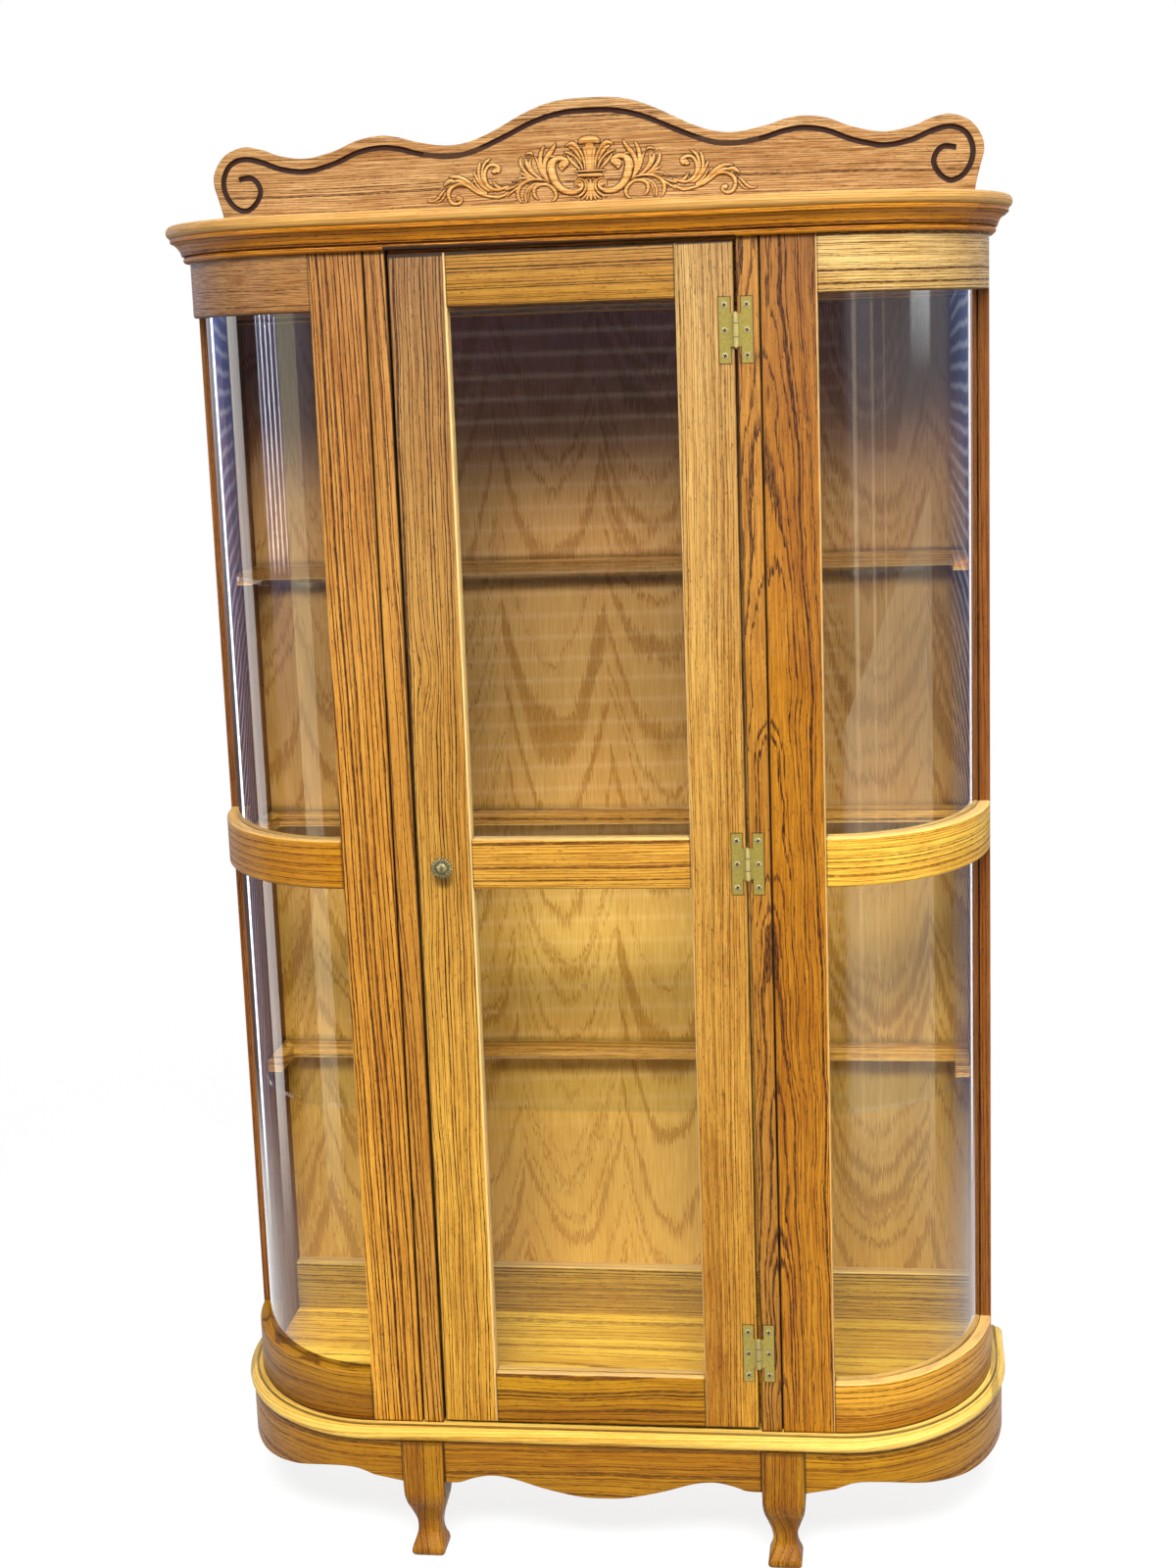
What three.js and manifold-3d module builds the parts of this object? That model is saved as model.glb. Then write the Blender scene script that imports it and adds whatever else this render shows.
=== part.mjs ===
// Bow-front china cabinet: a flat framed glass door between two bays of curved glass, glass shelves
// on wooden cleats, a moulded cornice with a shaped crest board, and cabriole front legs.
import * as THREE from "three";
import { mergeVertices } from "three/addons/utils/BufferGeometryUtils.js";
import Module from "manifold-3d";

const wasm = await Module();
wasm.setup();

// ---------------------------------------------------------------------------------------------
// Driving dimensions in millimetres. Z is up, -Y is the door side, and the origin is the middle of
// the footprint on the floor.

const DEPTH = 349; // cornice nosing to the back edge
const CORNICE_OVERHANG = 27;
const FRONT = CORNICE_OVERHANG - DEPTH / 2; // front face of the stiles and the door
const BACK = DEPTH / 2;

const FLAT_HALF = 285; // half the width of the flat front
const BOW_X = 195; // half axes of the quarter ellipse that each bay follows
const BOW_Y = 233;
const CASE_HALF = FLAT_HALF + BOW_X;
const RAIL_RUN = 210; // how far back the curved rails reach before the side boards begin

const BASE_TOP = 175; // height of the base board above the floor
const BASE_BOARD = 20;
const BASE_OVERHANG = 17.5;
const CASE_HEIGHT = 1414; // base board to the cornice moulding
const FRAME_TOP = BASE_TOP + CASE_HEIGHT;
const MOULDING_HEIGHT = 28;
const CAP_BOTTOM = FRAME_TOP + MOULDING_HEIGHT;
const CAP_THICK = 15;
const CAP_TOP = CAP_BOTTOM + CAP_THICK;
const CREST_THICK = 19;

const RAIL_THICK = 25;
const UPPER_RAIL = 64.5;
const MIDDLE_RAIL = [679, 737]; // heights above the base board
const LOWER_RAIL = 63;
const ARRIS = 3; // rounding of the edges around the glass
const EDGE_ROUND = 1.5; // rounding of every other long edge of the frame

const WIDE_STILE = [223, FLAT_HALF]; // inner and outer edge, measured from the middle
const NARROW_STILE = [196.5, 221];
const STILE_THICK = 25;
const NARROW_THICK = 22;
const TONGUE_SLOT = [8, 15]; // groove for the narrow stile's tongue, measured from the front face
const FIT = 0.3; // play between pieces that nest
const TONGUE = 7.5; // length of the tongues that rails have in the slots of their stiles

const SIDE_BOARD = [454, 479];
const SIDE_SLOT = [461.6, 466.4]; // slot in its front edge for the curved glass
const BACK_PANEL = [307, 313]; // depths behind the front plane
const BACK_RABBET = 6.3;
const INSIDE = -26.3; // plan offset of everything that lies inside the rails

const DOOR_HALF = 193.5;
const DOOR_STILE = 65;
const DOOR_THICK = 20;
const DOOR_BOTTOM = BASE_TOP + 4;
const DOOR_TOP = FRAME_TOP - 4.5;
const DOOR_TOP_RAIL = 60.5;
const DOOR_MIDDLE_RAIL = [678, 738];
const DOOR_BOTTOM_RAIL = 64;

const GLASS = 3;
const DOOR_GLASS = 9; // front face of the glass behind the face of its frame
const DOOR_SLOT = [8.5, 12.8]; // slot that holds the glass, measured from the same face
const BAY_GLASS = 14;
const BAY_SLOT = [13.5, 17.8];
const SLOT_DEPTH = 8;
const GLASS_EDGE = 7; // how deep the glass sits in its slot
const GLASS_PLAY = 1; // left free past the upright edges of the curved glass

const SHELF_HEIGHTS = [396.5, 711.5, 1035.5]; // tops of the cleats above the base board
const SHELF_THICK = 6;
const SHELF_GAP = 2; // between a shelf's back edge and the back panel
const REST_GAP = 0.05; // between a shelf and the pins below it
const CLEAT_THICK = 16;
const CLEAT_DEPTH = 30; // of the strip on the back panel
const SIDE_STRIP = 18; // thickness of the strips on the side boards
const SIDE_STRIP_SETBACK = 4; // of their front ends behind the front edge of the side boards
const PEG = { radius: 3, length: 24, buried: 8 };
const DECK_THICK = 18;
const CASE_TOP = 16;
const BACK_RAIL = [18, 84]; // thickness and the height of its upper edge above the base board
const TOP_BACK_RAIL = 85; // height of the rail under the case top

const LEG_X = 222;
const LEG_HALF = 26;
const APRON_OUT = 13; // how far the apron stands out from the case
const APRON_THICK = 20;
const APRON_TOP = BASE_TOP - BASE_BOARD;
const REAR_LEG = [31, 40]; // width at the floor and under the base board

const HINGE_AXIS = { x: 195, y: FRONT - 3.7 };
const HINGE_HEIGHTS = [102, 707.5, 1313]; // middles of the hinges above the base board
const KNOB = { x: -162, z: BASE_TOP + 708 };

// ---------------------------------------------------------------------------------------------
// Materials

const timber = (name, color) =>
  new THREE.MeshStandardMaterial({ name, color, roughness: 0.45, metalness: 0 });
const oakFront = () => timber("oak_front", 0xb9772b);
const oakTop = () => timber("oak_top", 0xa56a3c);
const oakNosing = () => timber("oak_nosing", 0xd8a54c);
const oakInside = () => timber("oak_inside", 0x9a7446);
const oakCarving = () => timber("oak_carving", 0xb98a4f);
const brass = () =>
  new THREE.MeshStandardMaterial({ name: "brass", color: 0x8d7638, roughness: 0.35, metalness: 0.9 });
const clearGlass = () =>
  new THREE.MeshStandardMaterial({
    name: "glass", color: 0xdfe8e6, roughness: 0.05, metalness: 0, transparent: true, opacity: 0.3,
  });

// ---------------------------------------------------------------------------------------------
// Solids: lofts, bars and boards

// Skin through closed rings of equal count, each counter-clockwise seen from the next one.
// `outline` is the ring in two dimensions, from which the two ends are closed.
function loft(rings, outline = rings[0].map((p) => new THREE.Vector2(p.x, p.y))) {
  const count = rings[0].length;
  const last = (rings.length - 1) * count;
  const index = [];
  for (let start = 0; start < last; start += count) {
    for (let i = 0; i < count; i++) {
      const here = start + i;
      const next = start + ((i + 1) % count);
      index.push(here, next, next + count, here, next + count, here + count);
    }
  }
  for (const [a, b, c] of THREE.ShapeUtils.triangulateShape(outline, [])) {
    index.push(c, b, a, last + a, last + b, last + c);
  }
  const points = rings.flat();
  const geometry = new THREE.BufferGeometry().setFromPoints(points).setIndex(index);
  geometry.computeVertexNormals();
  return geometry;
}

const extrude = (shape, depth, curveSegments = 6) =>
  new THREE.ExtrudeGeometry(shape, { depth, bevelEnabled: false, curveSegments });

// A plan outline raised from one height to another.
const upright = (shape, bottom, top) => extrude(shape, top - bottom).translate(0, 0, bottom);

// A section drawn in (y, z), run along X.
function barAlongX(shape, from, to) {
  const axes = [new THREE.Vector3(0, 1, 0), new THREE.Vector3(0, 0, 1), new THREE.Vector3(1, 0, 0)];
  const turn = new THREE.Matrix4().makeBasis(...axes);
  return extrude(shape, to - from).applyMatrix4(turn).translate(from, 0, 0);
}

// An elevation drawn in (x, z), given thickness along Y.
function plateAlongY(shape, front, back, curveSegments) {
  const axes = [new THREE.Vector3(1, 0, 0), new THREE.Vector3(0, 0, 1), new THREE.Vector3(0, -1, 0)];
  const turn = new THREE.Matrix4().makeBasis(...axes);
  return extrude(shape, back - front, curveSegments).applyMatrix4(turn).translate(0, back, 0);
}

const box = (x, y, z) =>
  new THREE.BoxGeometry(x[1] - x[0], y[1] - y[0], z[1] - z[0])
    .translate((x[0] + x[1]) / 2, (y[0] + y[1]) / 2, (z[0] + z[1]) / 2);

// A closed outline from corner points.
const outlineOf = (points) => new THREE.Shape(points.map(([u, v]) => new THREE.Vector2(u, v)));

// A symmetric line from its right half, whose first point lies on the middle.
const mirroredHalf = (half) => [...half.slice(1).reverse().map((p) => new THREE.Vector2(-p.x, p.y)), ...half];

// ---------------------------------------------------------------------------------------------
// Booleans

function solidOf(geometry) {
  const plain = geometry.clone().deleteAttribute("normal").deleteAttribute("uv");
  const merged = mergeVertices(plain, 1e-4);
  return new wasm.Manifold(
    new wasm.Mesh({
      numProp: 3,
      vertProperties: merged.attributes.position.array,
      triVerts: new Uint32Array(merged.index.array),
    }),
  );
}

function geometryOf(solid) {
  const { vertProperties, triVerts } = solid.getMesh();
  const geometry = new THREE.BufferGeometry();
  geometry.setAttribute("position", new THREE.BufferAttribute(vertProperties, 3));
  geometry.setIndex(new THREE.BufferAttribute(triVerts, 1));
  geometry.computeVertexNormals();
  return geometry;
}

const join = (first, ...others) =>
  geometryOf(others.reduce((whole, part) => whole.add(solidOf(part)), solidOf(first)));
const cut = (first, ...tools) =>
  geometryOf(tools.reduce((rest, tool) => rest.subtract(solidOf(tool)), solidOf(first)));

// ---------------------------------------------------------------------------------------------
// The plan: a flat front, a quarter ellipse at each end, and straight sides to the wall. A station
// is a point of that line with the direction in which offsets are measured.

const flatStation = (x) => ({ x, y: FRONT, outX: 0, outY: -1 });
const sideStation = (y) => ({ x: CASE_HALF, y, outX: 1, outY: 0 });
const bowStation = (angle) => ({
  x: FLAT_HALF + BOW_X * Math.sin(angle),
  y: FRONT + BOW_Y * (1 - Math.cos(angle)),
  outX: Math.sin(angle),
  outY: -Math.cos(angle),
});
const bowAngleAt = (run) => Math.acos(1 - run / BOW_Y); // where the bow has gone back by `run`

// Stations between two angles at one common pitch, so that pieces that nest have the same facets.
const BOW_PITCH = Math.PI / 36;
function bowStations(from, to) {
  const count = Math.round(Math.PI / 2 / BOW_PITCH);
  const angles = Array.from({ length: count + 1 }, (_, i) => i * BOW_PITCH);
  const between = angles.filter((a) => a > from + 1e-6 && a < to - 1e-6);
  return [from, ...between, to].map(bowStation);
}
const mirrorStation = (s) => ({ ...s, x: -s.x, outX: -s.outX });
const pointAt = (s, out, z) => new THREE.Vector3(s.x + s.outX * out, s.y + s.outY * out, z);

// A section drawn in (out, z) and carried along the plan from the first station to the last.
function mouldingAlong(section, stations, divisions = 5) {
  const outline = section.getPoints(divisions);
  if (outline[0].distanceTo(outline.at(-1)) < 1e-6) outline.pop();
  const rings = [...stations].reverse().map((s) => outline.map((p) => pointAt(s, p.x, p.y)));
  return loft(rings, outline);
}

// A board of the whole plan whose edge follows `levels`, a list of (out, z) from bottom to top.
function planBoard(levels, back = BACK) {
  const right = [...bowStations(0, Math.PI / 2), sideStation(back)];
  const stations = [...right, ...right.map(mirrorStation).reverse()];
  return loft(levels.map(([out, z]) => stations.map((s) => pointAt(s, out, z))));
}

// ---------------------------------------------------------------------------------------------
// Base: board, aprons, legs

function baseBoard() {
  const nose = 9;
  const levels = new THREE.Path()
    .absarc(BASE_OVERHANG - nose, APRON_TOP + nose, nose, -Math.PI / 2, Math.PI / 2, false)
    .getPoints(4)
    .map((p) => [p.x, p.y]);
  const step = BASE_OVERHANG - nose - 1.5;
  return planBoard([...levels, [step, BASE_TOP - 2], [step, BASE_TOP]]);
}

const APRON_FLAT = 86.5; // height of the level stretches of the apron's lower edge
const APRON_AT_LEG = 101.5;
const APRON_HUMP = 112;

// Right half of the front apron's scalloped edge, from the middle drop to the leg.
const FRONT_APRON_EDGE = [
  [0, APRON_FLAT], [30, 88], [72, 97], [112, 109], [138, APRON_HUMP], [160, 108], [178, APRON_AT_LEG + 0.5],
  [LEG_X - LEG_HALF, APRON_AT_LEG],
].map(([x, z]) => new THREE.Vector2(x, z));

function frontApron() {
  const end = LEG_X - LEG_HALF;
  const edge = mirroredHalf(FRONT_APRON_EDGE);
  const shape = new THREE.Shape().moveTo(-end, APRON_TOP).lineTo(edge[0].x, edge[0].y);
  shape.splineThru(edge.slice(1)).lineTo(end, APRON_TOP);
  return plateAlongY(shape, FRONT - APRON_OUT, FRONT - APRON_OUT + APRON_THICK, 3);
}

// The side apron's lower edge, as heights over the share of its run.
function sideApronEdge(share) {
  const edge = new THREE.CubicInterpolant(
    [0, 0.05, 0.13, 0.2, 0.36, 0.5, 0.75, 1],
    [101.5, 104, 116.5, 115.5, 99.5, 89, 86.5, 86.5], 1);
  return edge.evaluate(share)[0];
}

function sideApron() {
  const stations = [
    flatStation(LEG_X + LEG_HALF), flatStation(258), flatStation(270),
    ...bowStations(0, Math.PI / 2), sideStation((BACK + FRONT + BOW_Y) / 2), sideStation(BACK),
  ];
  const run = [0];
  stations.slice(1).forEach((s, i) => {
    run.push(run[i] + Math.hypot(s.x - stations[i].x, s.y - stations[i].y));
  });
  const inner = APRON_OUT - APRON_THICK;
  const rings = stations.map((s, i) => {
    const low = sideApronEdge(run[i] / run.at(-1));
    return [[inner, low], [APRON_OUT, low], [APRON_OUT, APRON_TOP], [inner, APRON_TOP]]
      .map(([out, z]) => pointAt(s, out, z));
  });
  const square = [[0, 0], [1, 0], [1, 1], [0, 1]].map(([u, v]) => new THREE.Vector2(u, v));
  return loft(rings.reverse(), square);
}

// A horizontal rounded rectangle; every ring has the same count whatever its corner radius.
function roundedRing(halfWidth, front, back, radius, z) {
  const shape = new THREE.Path()
    .absarc(halfWidth - radius, back - radius, radius, 0, Math.PI / 2)
    .absarc(radius - halfWidth, back - radius, radius, Math.PI / 2, Math.PI)
    .absarc(radius - halfWidth, front + radius, radius, Math.PI, 1.5 * Math.PI)
    .absarc(halfWidth - radius, front + radius, radius, 1.5 * Math.PI, 2 * Math.PI);
  return shape.getPoints(2).map((p) => new THREE.Vector3(p.x, p.y, z));
}

// Cabriole leg: a square block at the top, a knee that swells forward, a slim ankle and a pad foot.
// Each section is a height with the half width, the front face, the back face and the corner radius.
const LEG_SECTIONS = [
  [0, 17.5, -9, 27, 4],
  [3, 20, -13, 30, 4],
  [11, 20, -14, 30, 4],
  [18, 17.5, -8, 28, 5],
  [27, 15, -1, 28, 6],
  [40, 15.5, 0, 30, 7],
  [56, 20, -6, 32, 8],
  [72, 24.5, -15, 34, 8],
  [86, 26, -19, 34, 6],
  [100, LEG_HALF, -18.5, 34, 3],
  [APRON_TOP, LEG_HALF, -17, 34, 3],
];

function frontLeg() {
  const heights = LEG_SECTIONS.map(([z]) => z);
  const sections = new THREE.CubicInterpolant(heights, LEG_SECTIONS.flatMap((s) => s.slice(1)), 4);
  const levels = [0, 3, 7, 11, 14, 18, 22, 27, 33, 40, 48, 56, 64, 72, 80, 88, 100, APRON_TOP];
  const rings = levels.map((z) => {
    const [halfWidth, front, back, radius] = sections.evaluate(z);
    return roundedRing(Math.min(halfWidth, LEG_HALF), front, back, radius, z);
  });
  return loft(rings).translate(LEG_X, FRONT, 0);
}

// Plain tapered leg in the back corner, behind the side apron.
function rearLeg() {
  const outer = CASE_HALF + APRON_OUT - APRON_THICK;
  const ring = (width, z) => {
    const [inner, front] = [outer - width, BACK - width];
    return [[inner, front], [outer, front], [outer, BACK], [inner, BACK]]
      .map(([x, y]) => new THREE.Vector3(x, y, z));
  };
  return loft([ring(REAR_LEG[0], 0), ring(REAR_LEG[1], APRON_FLAT), ring(REAR_LEG[1], APRON_TOP)]);
}

// ---------------------------------------------------------------------------------------------
// Curved rails and glass

// A rail section in (out, z): rounded arrises on the open edges and a slot where glass enters.
function railSection(bottom, top, thickness, slot, { openBelow, openAbove }) {
  const [slotFront, slotBack] = slot;
  const shape = new THREE.Shape().moveTo(-thickness, bottom);
  if (openBelow) {
    shape.lineTo(-slotBack, bottom).lineTo(-slotBack, bottom + SLOT_DEPTH);
    shape.lineTo(-slotFront, bottom + SLOT_DEPTH).lineTo(-slotFront, bottom);
    shape.lineTo(-ARRIS, bottom).absarc(-ARRIS, bottom + ARRIS, ARRIS, -Math.PI / 2, 0);
  } else {
    shape.lineTo(0, bottom);
  }
  if (openAbove) {
    shape.lineTo(0, top - ARRIS).absarc(-ARRIS, top - ARRIS, ARRIS, 0, Math.PI / 2);
    shape.lineTo(-slotFront, top).lineTo(-slotFront, top - SLOT_DEPTH);
    shape.lineTo(-slotBack, top - SLOT_DEPTH).lineTo(-slotBack, top);
  } else {
    shape.lineTo(0, top);
  }
  return shape.lineTo(-thickness, top);
}

// The heights that a rail's tongues take up, clear of the glass beside them.
function tongueHeights(bottom, top, { openBelow, openAbove }) {
  return [bottom + (openBelow ? SLOT_DEPTH : EDGE_ROUND), top - (openAbove ? SLOT_DEPTH : EDGE_ROUND)];
}

// The rail's far end is cut square to the side board. A tongue at each end enters the slots of the
// wide stile and the side board, in line with the glass.
function curvedRail(bottom, top, open) {
  const stations = bowStations(0, bowAngleAt(RAIL_RUN));
  Object.assign(stations.at(-1), { outX: 1, outY: 0 });
  const rail = mouldingAlong(railSection(bottom, top, RAIL_THICK, BAY_SLOT, open), stations, 1);
  const heights = tongueHeights(bottom, top, open);
  const depth = [FRONT + BAY_SLOT[0] + FIT, FRONT + BAY_SLOT[1] - FIT];
  const atStile = box([FLAT_HALF - TONGUE, FLAT_HALF + 1], depth, heights);
  const width = [SIDE_SLOT[0] + FIT, SIDE_SLOT[1] - FIT];
  const atSide = box(width, [FRONT + RAIL_RUN - 1, FRONT + RAIL_RUN + TONGUE], heights);
  return join(rail, atStile, atSide);
}

function curvedGlass(bottom, top) {
  const section = outlineOf([
    [-BAY_GLASS - GLASS, bottom], [-BAY_GLASS, bottom], [-BAY_GLASS, top], [-BAY_GLASS - GLASS, top],
  ]);
  const stations = [
    flatStation(FLAT_HALF - GLASS_EDGE + GLASS_PLAY),
    ...bowStations(0, bowAngleAt(RAIL_RUN + GLASS_EDGE - GLASS_PLAY)),
  ];
  return mouldingAlong(section, stations);
}

// ---------------------------------------------------------------------------------------------
// Upright boards

// The wide stile carries the curved glass in its outer edge and the narrow stile's tongue in its
// inner edge.
function wideStile() {
  const [inner, outer] = WIDE_STILE;
  const back = FRONT + STILE_THICK;
  const bottom = outer - SLOT_DEPTH;
  const groove = inner + SLOT_DEPTH;
  const chamfer = 0.6;
  const [slotFront, slotBack] = BAY_SLOT.map((d) => FRONT + d);
  const [grooveFront, grooveBack] = TONGUE_SLOT.map((d) => FRONT + d);
  const shape = new THREE.Shape()
    .moveTo(inner, FRONT + EDGE_ROUND)
    .absarc(inner + EDGE_ROUND, FRONT + EDGE_ROUND, EDGE_ROUND, Math.PI, 1.5 * Math.PI)
    .lineTo(outer - chamfer, FRONT)
    .lineTo(outer, FRONT + chamfer);
  shape.lineTo(outer, slotFront).lineTo(bottom, slotFront).lineTo(bottom, slotBack).lineTo(outer, slotBack);
  shape.lineTo(outer, back).lineTo(inner, back);
  shape.lineTo(inner, grooveBack).lineTo(groove, grooveBack);
  shape.lineTo(groove, grooveFront).lineTo(inner, grooveFront);
  return upright(shape, BASE_TOP, CAP_BOTTOM);
}

function narrowStile() {
  const [inner, outer] = NARROW_STILE;
  const tongue = WIDE_STILE[0] + SLOT_DEPTH - 1;
  const [tongueFront, tongueBack] = [FRONT + TONGUE_SLOT[0] + FIT, FRONT + TONGUE_SLOT[1] - FIT];
  const shape = new THREE.Shape()
    .moveTo(inner, FRONT + EDGE_ROUND)
    .absarc(inner + EDGE_ROUND, FRONT + EDGE_ROUND, EDGE_ROUND, Math.PI, 1.5 * Math.PI)
    .lineTo(outer - EDGE_ROUND, FRONT)
    .absarc(outer - EDGE_ROUND, FRONT + EDGE_ROUND, EDGE_ROUND, -Math.PI / 2, 0)
    .lineTo(outer, tongueFront)
    .lineTo(tongue, tongueFront)
    .lineTo(tongue, tongueBack)
    .lineTo(outer, tongueBack)
    .lineTo(outer, FRONT + NARROW_THICK)
    .lineTo(inner, FRONT + NARROW_THICK);
  return upright(shape, BASE_TOP, CAP_BOTTOM);
}

// The side board takes the curved glass in its front edge and the back panel in its rabbet.
function sideBoard() {
  const [inner, outer] = SIDE_BOARD;
  const front = FRONT + RAIL_RUN;
  const slot = SIDE_SLOT;
  const slotEnd = front + SLOT_DEPTH;
  const shape = outlineOf([
    [inner, front], [slot[0], front], [slot[0], slotEnd], [slot[1], slotEnd],
    [slot[1], front], [outer, front], [outer, BACK], [inner + BACK_RABBET, BACK],
    [inner + BACK_RABBET, FRONT + BACK_PANEL[0]], [inner, FRONT + BACK_PANEL[0]],
  ]);
  return upright(shape, BASE_TOP, CAP_BOTTOM);
}

function backPanel() {
  const half = SIDE_BOARD[0] + BACK_RABBET - FIT;
  return box([-half, half], BACK_PANEL.map((d) => FRONT + d), [BASE_TOP, CAP_BOTTOM]);
}

// ---------------------------------------------------------------------------------------------
// Inside: deck, back rail, cleats, shelves

const INNER_BACK = FRONT + BACK_PANEL[0];

const insideBoard = (bottom, thickness, back) =>
  planBoard([[INSIDE, bottom], [INSIDE, bottom + thickness]], back);
const deck = () => insideBoard(BASE_TOP, DECK_THICK, INNER_BACK);
const caseTop = () => insideBoard(CAP_BOTTOM - CASE_TOP, CASE_TOP, INNER_BACK);
const glassShelf = (height) => insideBoard(BASE_TOP + height, SHELF_THICK, INNER_BACK - SHELF_GAP);

// Rail against the back panel, standing on the deck, with a rounded upper arris.
function lowerBackRail() {
  const [front, top] = [INNER_BACK - BACK_RAIL[0], BASE_TOP + BACK_RAIL[1]];
  const shape = new THREE.Shape()
    .moveTo(INNER_BACK, BASE_TOP + DECK_THICK)
    .lineTo(INNER_BACK, top)
    .lineTo(front + ARRIS, top)
    .absarc(front + ARRIS, top - ARRIS, ARRIS, Math.PI / 2, Math.PI)
    .lineTo(front, BASE_TOP + DECK_THICK);
  return barAlongX(shape, -SIDE_BOARD[0], SIDE_BOARD[0]);
}

// Rail against the back panel under the case top, with a rounded lower arris.
function topBackRail() {
  const front = INNER_BACK - BACK_RAIL[0];
  const top = CAP_BOTTOM - CASE_TOP;
  const bottom = top - TOP_BACK_RAIL;
  const shape = new THREE.Shape()
    .moveTo(INNER_BACK, bottom)
    .lineTo(INNER_BACK, top)
    .lineTo(front, top)
    .lineTo(front, bottom + ARRIS)
    .absarc(front + ARRIS, bottom + ARRIS, ARRIS, Math.PI, 1.5 * Math.PI);
  return barAlongX(shape, -SIDE_BOARD[0], SIDE_BOARD[0]);
}

// Three-sided cleat: one strip on the back panel and one on each side board.
function shelfCleat(height) {
  const top = BASE_TOP + height;
  const half = SIDE_BOARD[0];
  const inner = half - SIDE_STRIP;
  const sideFront = FRONT + RAIL_RUN + SIDE_STRIP_SETBACK;
  const backStrip = INNER_BACK - CLEAT_DEPTH;
  const plan = outlineOf([
    [-half, sideFront], [-inner, sideFront], [-inner, backStrip], [inner, backStrip],
    [inner, sideFront], [half, sideFront], [half, INNER_BACK], [-half, INNER_BACK],
  ]);
  return upright(plan, top - CLEAT_THICK, top);
}

// Level pins in the back of each wide stile, on which the front of each shelf rests.
function shelfPegs() {
  const x = (WIDE_STILE[0] + WIDE_STILE[1]) / 2;
  const y = FRONT + STILE_THICK - PEG.buried + PEG.length / 2;
  return SHELF_HEIGHTS.map((height) =>
    new THREE.CylinderGeometry(PEG.radius, PEG.radius, PEG.length, 12)
      .translate(x, y, BASE_TOP + height - REST_GAP - PEG.radius));
}

// ---------------------------------------------------------------------------------------------
// Cornice, crest board and its carving

function corniceSection() {
  const bottom = FRAME_TOP;
  const bead = 3.5;
  return new THREE.Shape()
    .moveTo(FIT, bottom)
    .lineTo(4.5, bottom)
    .absarc(4.5, bottom + bead, bead, -Math.PI / 2, Math.PI / 2)
    .lineTo(9.5, bottom + 2 * bead + 1.2)
    .bezierCurveTo(11.5, bottom + 17, 17, bottom + 21.5, 22.5, bottom + 24)
    .lineTo(22.5, CAP_BOTTOM)
    .lineTo(FIT, CAP_BOTTOM);
}

const RETURN_ANGLE = 11 * BOW_PITCH; // where the cornice's front strip meets its return
const PACKING_SETBACK = 8; // of the packing that joins the return to its side board

function corniceFront() {
  const right = [flatStation(FLAT_HALF / 2), ...bowStations(0, RETURN_ANGLE)];
  const stations = [...right.map(mirrorStation).reverse(), flatStation(0), ...right];
  return mouldingAlong(corniceSection(), stations, 4);
}

function corniceReturn() {
  const stations = [...bowStations(RETURN_ANGLE, Math.PI / 2), sideStation(BACK)];
  const strip = mouldingAlong(corniceSection(), stations, 4);
  const front = FRONT + RAIL_RUN + PACKING_SETBACK;
  const packing = box([SIDE_BOARD[1], CASE_HALF + 1], [front, BACK], [FRAME_TOP, CAP_BOTTOM]);
  return join(strip, packing);
}

function corniceCap() {
  const nose = CAP_THICK / 2;
  const levels = new THREE.Path()
    .absarc(CORNICE_OVERHANG - nose, CAP_BOTTOM + nose, nose, -Math.PI / 2, Math.PI / 2)
    .getPoints(4)
    .map((p) => [p.x, p.y]);
  return planBoard(levels);
}

// Right half of the crest's wavy edge, from the middle peak to the foot of the end scroll.
const CREST_EDGE = [
  [0, 141], [42, 138.5], [78, 127], [122, 105.5], [152, 95], [181, 92.5], [215, 98], [240, 105],
  [262, 107.5], [290, 103.5], [322, 91.5], [358, 84.5], [392, 89.5], [415, 98], [437, 101.5],
  [460, 93], [474, 75], [477, 58], [472, 38], [467, 17], [466, 0],
].map(([x, z]) => new THREE.Vector2(x, z));

// Middle line of the groove: it keeps its distance to the edge and curls into a hook at the end.
const CREST_GROOVE = [
  [0, 125.5], [34, 124], [70, 114.5], [112, 96], [148, 82.5], [178, 79], [212, 83.5], [238, 90.5],
  [262, 93], [290, 88.5], [322, 76], [358, 68.5], [390, 73], [415, 82.5], [437, 86.5], [454, 80],
  [463, 64], [462, 46], [452, 30], [437, 24], [424, 32], [417, 46], [421, 58], [430, 64], [444, 62],
].map(([x, z]) => new THREE.Vector2(x, z));

function crestBoard() {
  const edge = mirroredHalf(CREST_EDGE);
  const shape = new THREE.Shape().moveTo(edge[0].x, edge[0].y).splineThru(edge.slice(1));
  const board = plateAlongY(shape, BACK - CREST_THICK, BACK, 3).translate(0, 0, CAP_TOP);
  return cut(board, crestGroove(1), crestGroove(-1));
}

// One half of the groove's cutter, a round-nosed tool run along the line.
const GROOVE = { depth: 2.6, radius: 3.2, steps: 74, crossing: 0.2 };
function crestGroove(side) {
  const y = BACK - CREST_THICK + GROOVE.depth - GROOVE.radius;
  const line = CREST_GROOVE.map((p) => new THREE.Vector3(side * p.x, y, p.y + CAP_TOP));
  line[0].x = -GROOVE.crossing * side; // the two halves run a little into each other at the middle
  const path = new THREE.CatmullRomCurve3(line, false, "centripetal");
  const section = new THREE.Shape().absarc(0, 0, GROOVE.radius, 0, 2 * Math.PI);
  return new THREE.ExtrudeGeometry(section, { steps: GROOVE.steps, curveSegments: 3, extrudePath: path });
}

const RELIEF = 5; // how far the carving stands out from the crest board

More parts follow.
